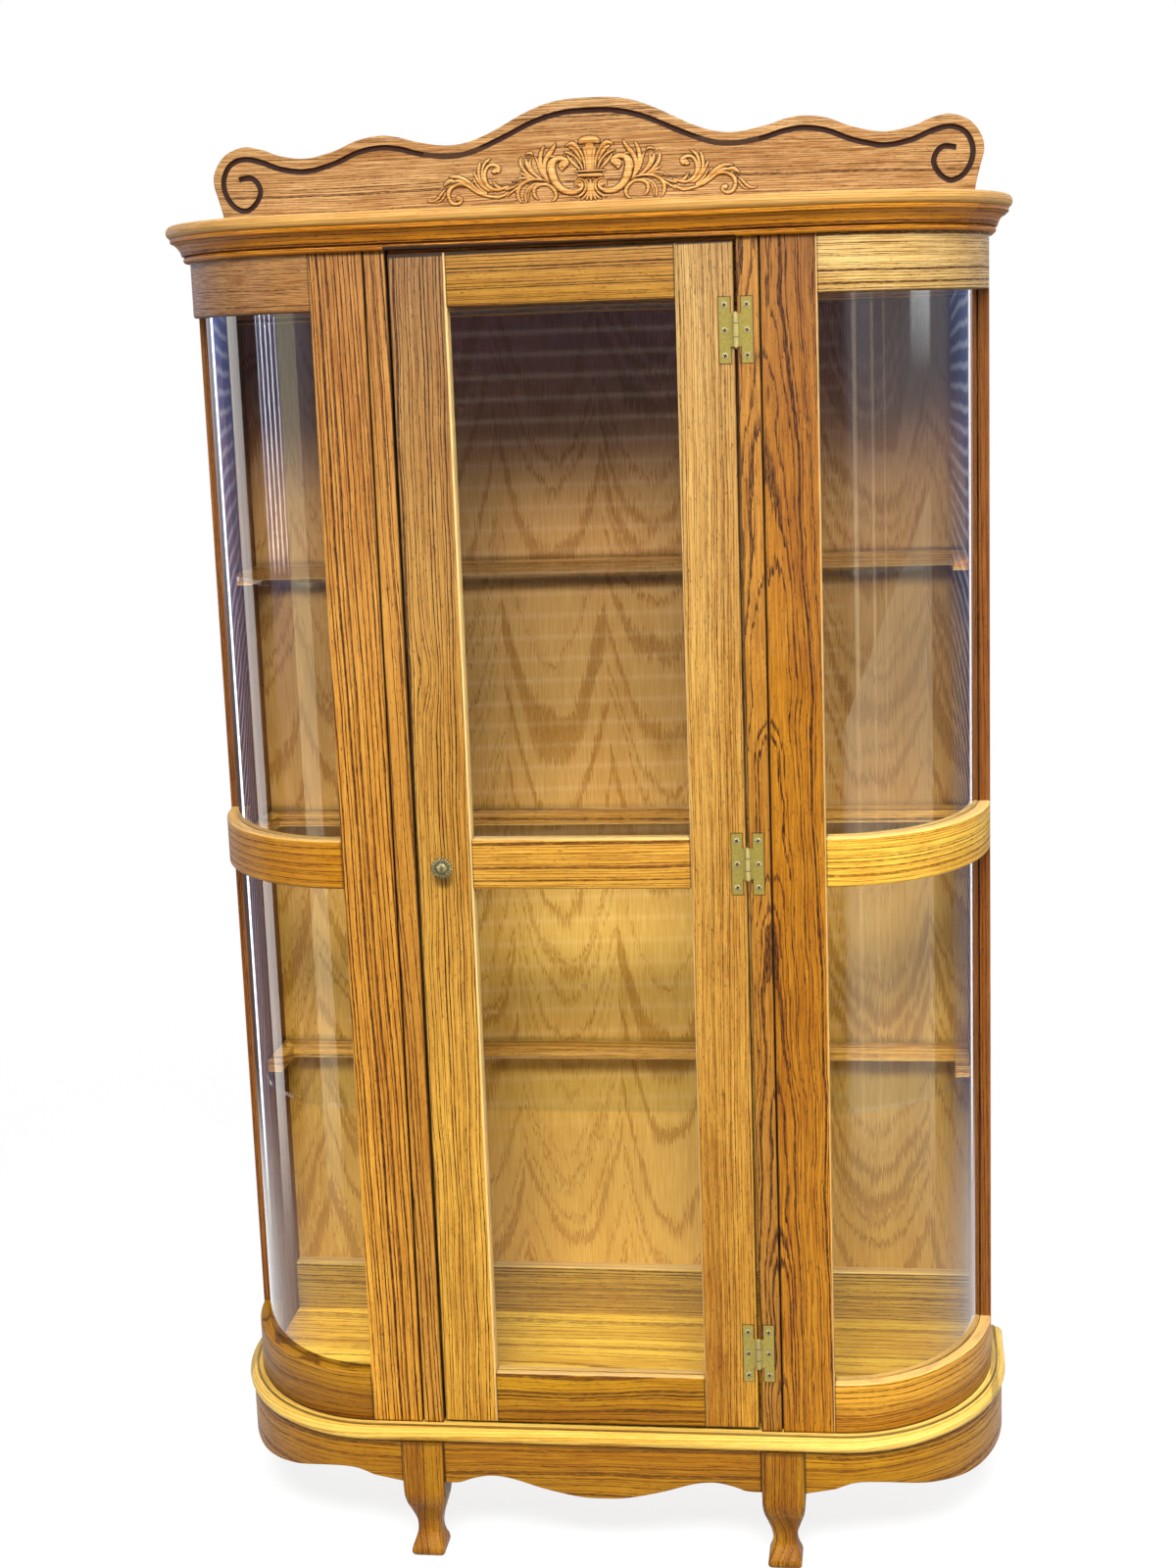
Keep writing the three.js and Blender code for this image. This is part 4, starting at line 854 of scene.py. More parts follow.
def makeBendTree():
    sockets = {"Geometry": "Geometry", **dict.fromkeys(plan, "Float"), "Material": "Material"}
    tree, given = startGroup("bendRoundPlan", "GeometryNodeTree", sockets, {"Geometry": "Geometry"})
    straight = node("GeometryNodeInputPosition")[0]
    u, out, z = parts(straight)
    along = abs(u)
    past = calc("MAXIMUM", along - given["flatHalf"], 0.0)
    angle = calc("MINIMUM", past / given["bowArc"], 1.0) * (math.pi / 2)
    sine, cosine = calc("SINE", angle), calc("COSINE", angle)
    x = given["bowWidth"] * sine + calc("MINIMUM", along, given["flatHalf"]) + out * sine
    y = calc("MAXIMUM", past - given["bowArc"], 0.0) + given["front"]
    y = given["bowDepth"] * (1.0 - cosine) + y - out * cosine
    kept = node("GeometryNodeStoreNamedAttribute",
                {"Geometry": given["Geometry"], "Name": "grain", "Value": straight},
                data_type="FLOAT_VECTOR", domain="POINT")[0]
    moved = node("GeometryNodeSetPosition", {"Geometry": kept, "Position": combined(x * calc("SIGN", u), y, z)})[0]
    finishGroup(node("GeometryNodeFlipFaces", {0: moved})[0], given["Material"])
    return tree


bendTree = makeBendTree()
spacing = {"bow": 68, "flat": 0.05, "flatMarks": 5}


def stationsBetween(start, end):
    # places along the plan, close together where it is bowed
    bow = [plan["flatHalf"] + i * plan["bowArc"] / spacing["bow"] for i in range(spacing["bow"] + 1)]
    count = spacing["flatMarks"]
    marks = {start, end, *bow, *(-m for m in bow), *(i * spacing["flat"] for i in range(-count, count + 1))}
    return [m for m in sorted(marks) if start <= m <= end]


def bentPiece(name, profile, start, end, material, slot, nodeName, shape=lambda *place: place):
    # profile is a closed list of (out, z), counter-clockwise; start and end are places that depend on out
    stations = stationsBetween(start(0), end(0))
    ends = {stations[0]: start, stations[-1]: end}
    rings = [[shape(ends[u](out) if u in ends else u, out, z) for out, z in profile] for u in stations]
    settle(shaped(skin(name, rings), bendTree, Material=material, **plan), "root", slot, nodeName)


def pair(name, profile, start, end, materials, slot, nodeName, **shape):
    # the right-hand piece, and the left one on the other side of the plan
    bentPiece(name + "_right", profile, start, end, materials[0], slot, nodeName + "_right", **shape)
    bentPiece(name + "_left", profile, lambda out: -end(out), lambda out: -start(out), materials[-1], slot,
              nodeName + "_left", **shape)


always = lambda value: lambda out: value


def arc(centre, radius, start, end, count=6):
    # points of a circular arc, angles in degrees
    turns = [math.radians(start + (end - start) * i / count) for i in range(count + 1)]
    return [(centre[0] + radius * math.cos(t), centre[1] + radius * math.sin(t)) for t in turns]


def planPoint(u, out):
    # a place on the plan line and its outward offset, in x and y
    past = max(abs(u) - plan["flatHalf"], 0)
    turn = min(past / plan["bowArc"], 1) * math.pi / 2
    x = min(abs(u), plan["flatHalf"]) + (plan["bowWidth"] + out) * math.sin(turn)
    y = plan["front"] + plan["bowDepth"] * (1 - math.cos(turn)) - out * math.cos(turn)
    return math.copysign(x, u), y + max(past - plan["bowArc"], 0)


def planPanel(name, out, bottom, top, back, material, slot, nodeName, ease=0.0005):
    # a level board of the whole plan, its front edge `out` from the plan line
    last = endOfBow + back - plan["front"] - plan["bowDepth"]
    rings = [[(*planPoint(u, out - inset), z) for u in stationsBetween(-last, last)]
             for inset, z in ((ease, bottom), (0, bottom + ease), (0, top - ease), (ease, top))]
    settle(skin(name, rings, material), "root", slot, nodeName)


# Smooth lines through a few points

def splineThrough(points, perSpan=10):
    # an even Catmull-Rom curve, as a bent lath takes through nails
    ends = [points[0], *points, points[-1]]
    made = []
    for a, b, c, d in zip(ends, ends[1:], ends[2:], ends[3:]):
        for i in range(perSpan):
            t = i / perSpan
            made.append(tuple(
                0.5 * (2 * q + (r - p) * t + (2 * p - 5 * q + 4 * r - s) * t ** 2 + (3 * (q - r) + s - p) * t ** 3)
                for p, q, r, s in zip(a, b, c, d)))
    return [*made, points[-1]]


def bothHalves(half, perSpan=10):
    # a line drawn from the middle to the right, with its other half
    return splineThrough([(-x, z) for x, z in reversed(half[1:])] + half, perSpan)


def curveThrough(stops, t):
    # value at t of a cubic through (place, value) stops, without curvature at its ends
    places = [s[0] for s in stops]
    i = min(max(np.searchsorted(places, t, side="right"), 1), len(stops) - 1)
    before = stops[i - 2] if i > 1 else stops[i]
    after = stops[i + 1] if i + 1 < len(stops) else stops[i - 1]
    (t0, v0), (t1, v1) = stops[i - 1], stops[i]
    half = (t1 - t0) / 2
    pull, push = half / (t0 - before[0]), half / (after[0] - t1)
    p = (t - t0) / (t1 - t0)
    return (before[1] * (-pull * p ** 3 + 2 * pull * p ** 2 - pull * p)
            + v0 * ((1 + pull) * p ** 3 + (-1.5 - 2 * pull) * p ** 2 + (pull - 0.5) * p + 1)
            + v1 * ((-1 - push) * p ** 3 + (1.5 + push) * p ** 2 + 0.5 * p)
            + after[1] * (push * p ** 3 - push * p ** 2))


def plate(name, outline, front, back, material, ease, segments=3):
    # an upright board from its outline in (x, z), its long edges rounded
    obj = skin(name, [[(x, y, z) for x, z in outline] for y in (front, back)], material)
    with meshEdit(obj.data) as work:
        rims = [e for e in work.edges if abs(e.verts[0].co.y - e.verts[1].co.y) < easing["sameDepth"]]
        bmesh.ops.bevel(work, geom=rims, offset=ease, segments=segments, affect="EDGES", profile=0.5,
                        clamp_overlap=False)
    return obj


# Base: board, aprons and legs

base = {
    "board": 0.020, "overhang": 0.0175, "nose": 0.009, "step": 0.007, "stepDepth": 0.0018, "arris": 0.0004,
    "strip": -0.022, "joint": 0.0002,
}
apronTop = baseTop - base["board"]


def nosing(overhang, bottom, radius):
    # a half round edge, as part of a profile
    return arc((overhang - radius, bottom + radius), radius, -90, 90, 12)


def makeBase():
    strip, step, arris = base["strip"], base["step"], base["arris"]
    profile = [(strip, apronTop), *nosing(base["overhang"], apronTop, base["nose"]),
               (step, baseTop - base["stepDepth"]), (step, baseTop - arris), (step - arris, baseTop),
               (strip, baseTop)]
    bentPiece("base_edging", profile, always(-endOfSide), always(endOfSide), oak["baseEdging"], "oak_nosing",
              "base_board")
    planPanel("base_core", strip - base["joint"], apronTop, baseTop, backFace, oak["baseCore"], "oak_inside",
              "base_board", base["joint"])


apron = {
    "out": 0.013, "thick": 0.020, "legX": 0.222, "legHalf": 0.026, "ease": 0.0015,
    # lower edge of the front apron from the middle drop to the leg, and of a side apron over its run
    "frontEdge": [(0, 0.0865), (0.030, 0.088), (0.072, 0.097), (0.112, 0.109), (0.138, 0.112), (0.160, 0.108),
                  (0.178, 0.102), (0.196, 0.1015)],
    "sideEdge": [(0, 0.1015), (0.05, 0.104), (0.13, 0.1165), (0.2, 0.1155), (0.36, 0.0995), (0.5, 0.089),
                 (0.75, 0.0865), (1, 0.0865)],
}


def makeAprons():
    out, thick, ease = apron["out"], apron["thick"], apron["ease"]
    last = apron["frontEdge"][-1][0]
    outline = [(last, apronTop), (-last, apronTop), *bothHalves(apron["frontEdge"])]
    face = plan["front"] - out
    settle(plate("front_apron_board", outline, face, face + thick, oak["frontApron"], ease), "root", "oak_front",
           "front_apron")
    profile = [(out - thick, 0), *arc((out - ease, ease), ease, -90, 0, 4), (out, apronTop), (out - thick, apronTop)]
    first = apron["legX"] + apron["legHalf"]

    def scalloped(u, out, z):
        share = (abs(u) - first) / (endOfSide - first)
        return u, out, z if z > apronTop / 2 else z + curveThrough(apron["sideEdge"], share)

    pair("side_apron_board", profile, always(first), always(endOfSide), (oak["sideApronRight"], oak["sideApronLeft"]),
         "oak_front", "side_apron", shape=scalloped)


# A cabriole leg: height, half width, front face, back face and corner radius of each section
leg = {
    "sections": [
        (0, 0.0175, -0.009, 0.027, 0.004), (0.003, 0.020, -0.013, 0.030, 0.004),
        (0.011, 0.020, -0.014, 0.030, 0.004), (0.018, 0.0175, -0.008, 0.028, 0.005),
        (0.027, 0.015, -0.001, 0.028, 0.006), (0.040, 0.0155, 0, 0.030, 0.007),
        (0.056, 0.020, -0.006, 0.032, 0.008), (0.072, 0.0245, -0.015, 0.034, 0.008),
        (0.086, 0.026, -0.019, 0.034, 0.006), (0.100, 0.026, -0.0185, 0.034, 0.003),
        (0.155, 0.026, -0.017, 0.034, 0.003)],
    "levels": 64, "closer": 1.25, "cornerSteps": 6,
}


def makeLeg(side, name, board):
    rings = []
    for i in range(leg["levels"] + 1):
        z = apronTop * (i / leg["levels"]) ** leg["closer"]
        half, front, back, radius = (curveThrough([(s[0], s[k]) for s in leg["sections"]], z) for k in (1, 2, 3, 4))
        half = min(half, apron["legHalf"])
        ring = []
        for start, across, deep in ((0, 1, 1), (90, -1, 1), (180, -1, -1), (270, 1, -1)):
            corner = (across * (half - radius), back - radius if deep > 0 else front + radius)
            ring += arc(corner, radius, start, start + 90, leg["cornerSteps"])
        rings.append([(side * apron["legX"] + x, plan["front"] + y, z) for x, y in ring])
    settle(skin(name + "_carved", rings, oak[board]), "root", "oak_front", name, angle=40)


# Curved rails, their glass, cornice and cap

rail = {"thick": 0.025, "arris": 0.003, "slot": (0.0135, 0.0178), "slotDepth": 0.008, "ease": 0.0008}


def alongBow(cosine):
    # the place on the plan where the bow has turned by the angle that has this cosine
    return plan["flatHalf"] + plan["bowArc"] * math.acos(cosine) / (math.pi / 2)


def railEnd(out):
    # where a rail meets the side board's front face, so that its end is cut square
    return alongBow((plan["bowDepth"] - railRun) / (plan["bowDepth"] + out))


def railProfile(bottom, top, openBelow, openAbove):
    # a counter-clockwise section in (out, z), with rounded arrises where the glass is let in
    arris, ease, thick, slotDepth = rail["arris"], rail["ease"], rail["thick"], rail["slotDepth"]
    near, far = rail["slot"]
    points = []
    if openBelow:
        points += [(-far, bottom), (-far, bottom + slotDepth), (-near, bottom + slotDepth), (-near, bottom)]
        points += arc((-arris, bottom + arris), arris, -90, 0)
    else:
        points += arc((-ease, bottom + ease), ease, -90, 0, 2)
    if openAbove:
        points += arc((-arris, top - arris), arris, 0, 90)
        points += [(-near, top), (-near, top - slotDepth), (-far, top - slotDepth), (-far, top)]
    else:
        points += arc((-ease, top - ease), ease, 0, 90, 2)
    points += arc((ease - thick, top - ease), ease, 90, 180, 2)
    return points + arc((ease - thick, bottom + ease), ease, 180, 270, 2)


def makeRails():
    for level, below, above, slot in (("lower", False, True, "oak_front"), ("middle", True, True, "oak_front"),
                                      ("upper", True, False, "oak_top")):
        name = level + "_rail"
        profile = railProfile(*heights(name + "_right"), below, above)
        pair(name + "_bent", profile, always(plan["flatHalf"]), railEnd,
             (oak[level + "RailRight"], oak[level + "RailLeft"]), slot, name)


bowGlass = {"inStile": 0.006, "inSide": 0.006, "out": (-0.017, -0.014)}


def makeBowGlass():
    last = alongBow(1 - (railRun + bowGlass["inSide"]) / plan["bowDepth"])
    inner, outer = bowGlass["out"]
    for level in ("lower", "upper"):
        name = level + "_bow_glass"
        bottom, top = heights(name + "_right")
        profile = [(inner, bottom), (outer, bottom), (outer, top), (inner, top)]
        pair(level + "_bow_pane", profile, always(plan["flatHalf"] - bowGlass["inStile"]), always(last), [clearGlass],
             "glass", name)


cornice = {
    "bead": 0.0035, "beadOut": 0.0045, "play": 0.0003, "mitre": 55, "joint": 0.00015, "out": 0.0225,
    # the hollow's start, two pulls and end, out and up from the bottom
    "cove": ((0.0095, 0.0082), (0.0115, 0.017), (0.017, 0.0215), (0.0225, 0.024)), "coveSteps": 8,
    "packing": -0.0009, "packedFrom": 0.008,
}


def makeCornice():
    bottom = low("cornice_front").z
    bead, beadOut, play, joint = cornice["bead"], cornice["beadOut"], cornice["play"], cornice["joint"]
    profile = [(play, bottom), (beadOut, bottom), *arc((beadOut, bottom + bead), bead, -90, 90, 8)[1:]]
    for t in np.linspace(0, 1, cornice["coveSteps"] + 1).tolist():
        shares = ((1 - t) ** 3, 3 * (1 - t) ** 2 * t, 3 * (1 - t) * t ** 2, t ** 3)
        out, up = (sum(share * pull[k] for share, pull in zip(shares, cornice["cove"])) for k in (0, 1))
        profile.append((out, bottom + up))
    profile += [(cornice["out"], capBottom), (play, capBottom)]
    mitre = plan["flatHalf"] + plan["bowArc"] * cornice["mitre"] / 90
    bentPiece("cornice_front_moulding", profile, always(joint - mitre), always(mitre - joint), oak["cornice"],
              "oak_top", "cornice_front")
    sideStart = railEnd(0) + cornice["packedFrom"]

    def packed(u, out, z):
        # past the curved rail the moulding is thicker, to reach the side board
        return u, cornice["packing"] if out <= play and abs(u) > sideStart else out, z

    pair("cornice_return_moulding", profile, always(mitre + joint), always(endOfSide),
         (oak["corniceRight"], oak["corniceLeft"]), "oak_top", "cornice_return", shape=packed)


cap = {"overhang": 0.027, "strip": -0.030, "joint": 0.0002, "ease": 0.0003}


def makeCap():
    strip = cap["strip"]
    profile = [(strip, capBottom), *nosing(cap["overhang"], capBottom, (capTop - capBottom) / 2), (strip, capTop)]
    bentPiece("cap_edging", profile, always(-endOfSide), always(endOfSide), oak["capEdging"], "oak_nosing",
              "cornice_cap")
    planPanel("cap_core", strip - cap["joint"], capBottom, capTop, backFace, oak["capCore"], "oak_top", "cornice_cap",
              cap["ease"])


shelf = {"out": -0.0263}


def makeShelves():
    for level in ("lower", "middle", "upper"):
        name = level + "_glass_shelf"
        planPanel(level + "_shelf_pane", shelf["out"], *heights(name), high(name).y, shelfGlass, "glass", name)


# Crest board

crest = {
    "edge": [(0, 0.141), (0.042, 0.1385), (0.078, 0.127), (0.122, 0.1055), (0.152, 0.095), (0.181, 0.0925),
             (0.215, 0.098), (0.240, 0.105), (0.262, 0.1075), (0.290, 0.1035), (0.322, 0.0915), (0.358, 0.0845),
             (0.392, 0.0895), (0.415, 0.098), (0.437, 0.1015), (0.460, 0.093), (0.474, 0.075), (0.477, 0.058),
             (0.472, 0.038), (0.467, 0.017), (0.466, 0)],
    "groove": [(0, 0.1255), (0.034, 0.124), (0.070, 0.1145), (0.112, 0.096), (0.148, 0.0825), (0.178, 0.079),
               (0.212, 0.0835), (0.238, 0.0905), (0.262, 0.093), (0.290, 0.0885), (0.322, 0.076), (0.358, 0.0685),
               (0.390, 0.073), (0.415, 0.0825), (0.437, 0.0865), (0.454, 0.080), (0.463, 0.064), (0.462, 0.046),
               (0.452, 0.030), (0.437, 0.024), (0.424, 0.032), (0.417, 0.046), (0.421, 0.058), (0.430, 0.064),
               (0.444, 0.062)],
    "edgeSteps": 8, "ease": 0.0018, "easeSegments": 4,
    "grooveSteps": 7, "grooveRadius": 0.0036, "grooveDepth": 0.0028, "grooveSides": 12,
    "shadeDeeper": 0.0002, "shadeWider": 1.3,
}


def grooveCutter(line, radius):
    # a round bar along an upright line of points
    deep = Vector((0, 1, 0))
    rings = []
    for i, here in enumerate(line):
        ahead = (line[min(i + 1, len(line) - 1)] - line[max(i - 1, 0)]).normalized()
        turns = [2 * math.pi * k / crest["grooveSides"] for k in range(crest["grooveSides"])]
        rings.append([here + radius * (math.cos(t) * ahead.cross(deep) + math.sin(t) * deep) for t in turns])
    return skin("groove_cutter", rings)


def makeCrest():
    front, radius = low("crest_board").y, crest["grooveRadius"]
    outline = [(x, z + capTop) for x, z in reversed(bothHalves(crest["edge"], crest["edgeSteps"]))]
    board = plate("crest_board_shaped", outline, front, backFace, oak["crest"], crest["ease"],
                  crest["easeSegments"])
    depth = front + crest["grooveDepth"] - radius
    line = [Vector((x, depth, z + capTop)) for x, z in bothHalves(crest["groove"], crest["grooveSteps"])]
    cutter = grooveCutter(line, radius)
    carve = board.modifiers.new("groove", "BOOLEAN")
    carve.object, carve.solver = cutter, "EXACT"
    applied(board)
    bpy.data.objects.remove(cutter)
    board.data.materials.clear()
    board.data.materials.append(oak["crest"])
    # the faces inside the groove are marked, so that shade can be painted there
    path = np.array([(p.x, p.z) for p in line])
    away = [np.hypot(*(path - (face.center.x, face.center.z)).T).min() for face in board.data.polygons]
    deep = front + crest["shadeDeeper"]
    markHollow(board.data, [float(face.center.y > deep and gap < radius * crest["shadeWider"])
                            for face, gap in zip(board.data.polygons, away)], "FACE")
    settle(board, "root", "oak_top", "crest_board")


# The carving, drawn as strokes in millimetres on its left half: the relief of each, then places
# (across, height, half width) along it
carvingStrokes = {
    "tailTip": (2.4, [(-204.7, 8.3, 0.4), (-199.9, 7.2, 1.5), (-194.3, 8.3, 1.8), (-189.4, 12.5, 1.8),
        (-185.6, 17, 1.5), (-181.8, 20.3, 0.7)]),
    "tailLobe": (1.8, [(-194, 5.6, 0.4), (-188.1, 7.6, 1.2), (-183.9, 12.2, 1.4), (-181.8, 16.7, 0.7)]),
    "cup": (2.6, [(-183.5, 25.3, 0.6), (-179.7, 27.8, 2.4), (-175.6, 30.6, 2.5), (-170.7, 30.9, 1.1)]),
    "upperStem": (3.2, [(-175.6, 34.9, 0.6), (-170.7, 35.4, 1.8), (-165.1, 35.1, 2.4), (-159.6, 33.3, 2.5),
        (-154, 29.9, 2.4), (-148.5, 25.3, 2.1), (-142.9, 20.1, 1.9), (-137.4, 16, 1.7), (-130.4, 13.2, 1.2)]),
    "underStem": (1.6, [(-172.1, 28.8, 0.6), (-166.5, 30.6, 1.5), (-159.6, 29.2, 1.7), (-154, 26, 1.4),
        (-148.5, 21.9, 1.1)]),
    "volute": (3.2, [(-167.2, 10.8, 1.5), (-163.4, 10.1, 2.1), (-161.7, 6.9, 1.9), (-164.4, 3.5, 1.9),
        (-169.3, 2.4, 2.1), (-174.2, 4.5, 2.4), (-176.9, 8.7, 2.6), (-178, 14.2, 2.6), (-176.2, 19.8, 2.5),
        (-170.7, 24.3, 2.2), (-162.4, 26.4, 2.1), (-155.4, 24.7, 1.9), (-149.9, 21.2, 1.8), (-143.6, 16.7, 1.8),
        (-136.7, 13.2, 1.8), (-129, 10.8, 1.8), (-120, 9, 1.9), (-112.4, 9, 1.9), (-104, 13.2, 1.8)]),
    "voluteEye": (3.6, [(-166.4, 8.5, 2.1), (-165.6, 8.3, 2.1)]),
    "scroll": (3.8, [(-119.3, 42.4, 1.2), (-116.2, 42, 1.7), (-114.4, 39.2, 2.1), (-113.1, 43.4, 2.4),
        (-116.5, 46.5, 2.5), (-121.4, 47.6, 2.2), (-126.2, 46.2, 1.9), (-129.7, 42, 1.9), (-131.5, 36.5, 2.4),
        (-131.5, 30.9, 2.6), (-129.4, 25.3, 2.6), (-125.9, 21, 2.4), (-120.7, 18.1, 1.9), (-114.4, 17.4, 1.8),
        (-108.9, 19.1, 1.8), (-103.3, 20.8, 1.7)]),
    "scrollEye": (3.6, [(-120, 39.2, 2.5), (-118.6, 38.9, 2.5)]),
    "spur": (3, [(-121, 28.5, 0.4), (-119.3, 25.3, 1.7), (-116.5, 21.9, 1.9), (-111.7, 19.4, 1.5),
        (-106.8, 19.1, 0.8)]),
    "leafA": (2.8, [(-123.5, 55.1, 0.4), (-126.9, 53.1, 1.8), (-130.8, 49.7, 1.9), (-133.5, 44.1, 1.7),
        (-134.6, 37.8, 1.5), (-134.2, 31.6, 1.4), (-132.2, 26, 1)]),
    "leafB": (2.4, [(-136.1, 52.8, 0.4), (-137.4, 48.3, 1.8), (-138.8, 42, 1.9), (-138.8, 35.8, 1.8),
        (-137, 29.5, 1.7), (-133.5, 23.6, 1.5), (-128.3, 18.8, 1.2), (-122.1, 16, 0.8)]),
    "leafC": (2, [(-146.2, 41.6, 0.3), (-144, 37.8, 1.4), (-141.5, 32.3, 1.5), (-138.1, 26.4, 1.5),
        (-133.2, 20.8, 1.4), (-126.9, 16.7, 1.1)]),
    "leafD": (1.8, [(-146, 33.7, 0.4), (-143.6, 28.5, 1.2), (-140.1, 22.9, 1.4), (-135.3, 18.1, 1.2),
        (-129.7, 14.9, 0.7)]),
    "stemLow": (2.6, [(-104, 10.6, 1.5), (-99.2, 13.7, 1.5), (-93.6, 17.4, 1.2), (-89.4, 20.5, 0.8)]),
    "stemMid": (2.6, [(-105.4, 17.4, 1.4), (-99.2, 19.2, 1.5), (-93.6, 21.2, 1.2), (-88.8, 24, 0.7)]),
    "stemLobe": (2.2, [(-97.1, 25.7, 0.3), (-92.2, 27.8, 1.2), (-86.7, 29.9, 1.4), (-81.1, 30.3, 1.1),
        (-74.9, 29.2, 0.7)]),
    "leafE": (2.8, [(-85.3, 55.8, 0.7), (-86.3, 51, 1.9), (-85.3, 45.1, 2.2), (-82.2, 39.6, 2.2), (-77.3, 34.5, 1.8),
        (-71.4, 30.6, 1.1)]),
    "leafELow": (1.8, [(-87.5, 37.5, 0.4), (-83.2, 34.7, 1.5), (-76.9, 31.9, 1.4), (-69.3, 29.4, 0.7)]),
    "leafFHead": (3.6, [(-79.6, 57.6, 0.8), (-76.2, 59.5, 1.7), (-72.4, 59.2, 1.7), (-70.6, 56.9, 0.8)]),
    "leafF": (2.8, [(-79.6, 53.1, 0.8), (-78.3, 47.6, 2.4), (-75.9, 42, 2.5), (-72.1, 36.8, 2.2), (-66.5, 31.9, 1.7),
        (-59.6, 27.6, 0.8)]),
    "leafFRidge": (3.4, [(-73.5, 51.7, 0.8), (-74.5, 47.6, 1.4), (-73.1, 42, 1.4), (-69.3, 36.5, 1.1),
        (-63.8, 30.9, 0.6)]),
    "leafG": (2.2, [(-67.9, 55.1, 0.6), (-65.7, 51, 1.4), (-64.1, 45.5, 1.5), (-62.4, 39.9, 1.5), (-59.6, 33.7, 1.2),
        (-54.7, 27.8, 0.6)]),
    "leafH": (3, [(-56.1, 67.7, 0.6), (-58.5, 62.8, 2.1), (-60.8, 56.6, 2.6), (-61.5, 49.7, 2.8), (-60.8, 42.7, 2.6),
        (-58.9, 35.8, 2.2), (-55.4, 29.5, 1.5), (-50.9, 23.3, 0.6)]),
    "leafI": (3.4, [(-41.9, 70.5, 0.4), (-44.3, 64.9, 2.4), (-48.5, 59.4, 3.1), (-53, 53.8, 3.1), (-55.8, 47.6, 2.8),
        (-56.7, 40.6, 2.4), (-55.4, 33.7, 1.8), (-51.6, 25.3, 0.6)]),
    "leafILip": (3, [(-49.9, 54.2, 0.7), (-45.7, 54.5, 1.7), (-41.5, 52.8, 1.1)]),
    "leafIRim": (3.2, [(-53, 36.5, 0.6), (-52.6, 42, 1), (-50.6, 47.6, 1), (-47.1, 51.4, 0.6)]),
    "cScroll": (5, [(-34.6, 38.5, 2.1), (-37.4, 42, 1.7), (-36.3, 45.8, 1.7), (-32.2, 46.5, 2.1), (-28.7, 44.8, 2.8),
        (-29.4, 48.6, 3.1), (-34.2, 51.4, 3.3), (-40.1, 51.4, 3.5), (-45, 48.6, 3.9), (-47.4, 42.7, 4.6),
        (-47.4, 35.8, 5.3), (-45.7, 28.8, 5.4), (-42.2, 21.9, 5), (-37, 16, 4.4), (-30.4, 12.2, 3.9),
        (-22.8, 10.6, 3.3), (-15.8, 12, 2.6), (-11.3, 15.3, 2.1), (-9.9, 19.4, 1.7), (-12, 22.9, 1.4),
        (-15.5, 22.7, 1.2), (-17.2, 19.8, 1.1)]),
    "cEye": (5, [(-33.2, 42, 3.5), (-32.4, 42.2, 3.5)]),
    "cFootEye": (3.6, [(-14.1, 18.8, 2.4), (-13.4, 18.8, 2.4)]),
    "ringA": (2.4, [(-19.2, 18.1, 0.8), (-18.6, 22.9, 1.2), (-14.4, 25.9, 1.2), (-9.6, 25.3, 1.2), (-6.5, 21.5, 1.2),
        (-6.2, 15.6, 1.4), (-8.9, 10.1, 1.5), (-13.8, 6.2, 1.5), (-18.6, 4.2, 0.7)]),
    "ringB": (1.8, [(-6.8, 25.7, 0.6), (-3.5, 21.2, 1.1), (-3, 15.3, 1.2), (-4.7, 9, 1.2), (-8.5, 4.2, 1.2),
        (-12.4, 1.7, 0.6)]),
    "shellMiddle": (3, [(0, 37.8, 2.6), (0, 47.6, 3.2), (0, 57.3, 4.2), (0, 64.2, 6.2)]),
    "shellRib": (3.4, [(-3.5, 37.7, 1.1), (-4, 46.2, 1.4), (-5.1, 54.5, 1.8), (-6.8, 62.2, 2.1)]),
    "shellCrown": (4.6, [(-10.3, 70.5, 3.5), (-6.8, 72.2, 4.4), (0, 72.6, 4.9)]),
    "shellSide": (3.8, [(-6.2, 38.2, 1), (-6.8, 45.5, 1.4), (-8.9, 53.1, 1.7), (-12.4, 60.1, 1.9), (-17.2, 66, 2.8),
        (-21.4, 68.4, 3.1), (-26.2, 67.4, 2.1), (-29.4, 66, 0.7)]),
    "shellSideIn": (2.2, [(-10.3, 47.6, 0.8), (-14.4, 55.2, 1.8), (-19.3, 61.5, 2.4), (-24.2, 64.2, 1.4)]),
    "shellLow": (3.2, [(-9.4, 38.4, 1), (-12, 44.8, 1.4), (-16.4, 50.7, 1.5), (-21.7, 55.2, 1.7), (-27.3, 58, 1.5),
        (-31.8, 58.5, 0.6)]),
    "shellLast": (2.2, [(-13.4, 38.4, 1.2), (-18.3, 43.1, 1.8), (-22.8, 47.9, 1.9), (-25.9, 52.1, 1.4),
        (-28, 54.9, 0.6)]),
    "bandTop": (3.4, [(-19, 35.4, 0.8), (-13.8, 35.4, 1.2), (0, 35.4, 1.4)]),
    "band": (4.4, [(-14.4, 29.9, 1.7), (-11, 30.1, 2.2), (0, 30.1, 2.4)]),
    "footLeaf": (2.6, [(0, 24.7, 1.4), (-0.2, 18.4, 1.8), (-1.2, 11.5, 1.8), (0, 1, 1.4)]),
    "footSide": (2, [(-2.3, 12.5, 0.6), (-3.3, 7.3, 1.4), (-5.4, 1.7, 1.1)]),
    "archA": (3, [(-50.6, 24, 0.6), (-56.8, 26.4, 1.1), (-65.1, 27.8, 1.5), (-74.2, 27.6, 1.8), (-81.8, 25, 2.1),
        (-87.4, 21.2, 2.4), (-90.5, 15.6, 2.5), (-90.8, 9.4, 2.4), (-89.1, 4.5, 1.7), (-86, 1, 0.6)]),
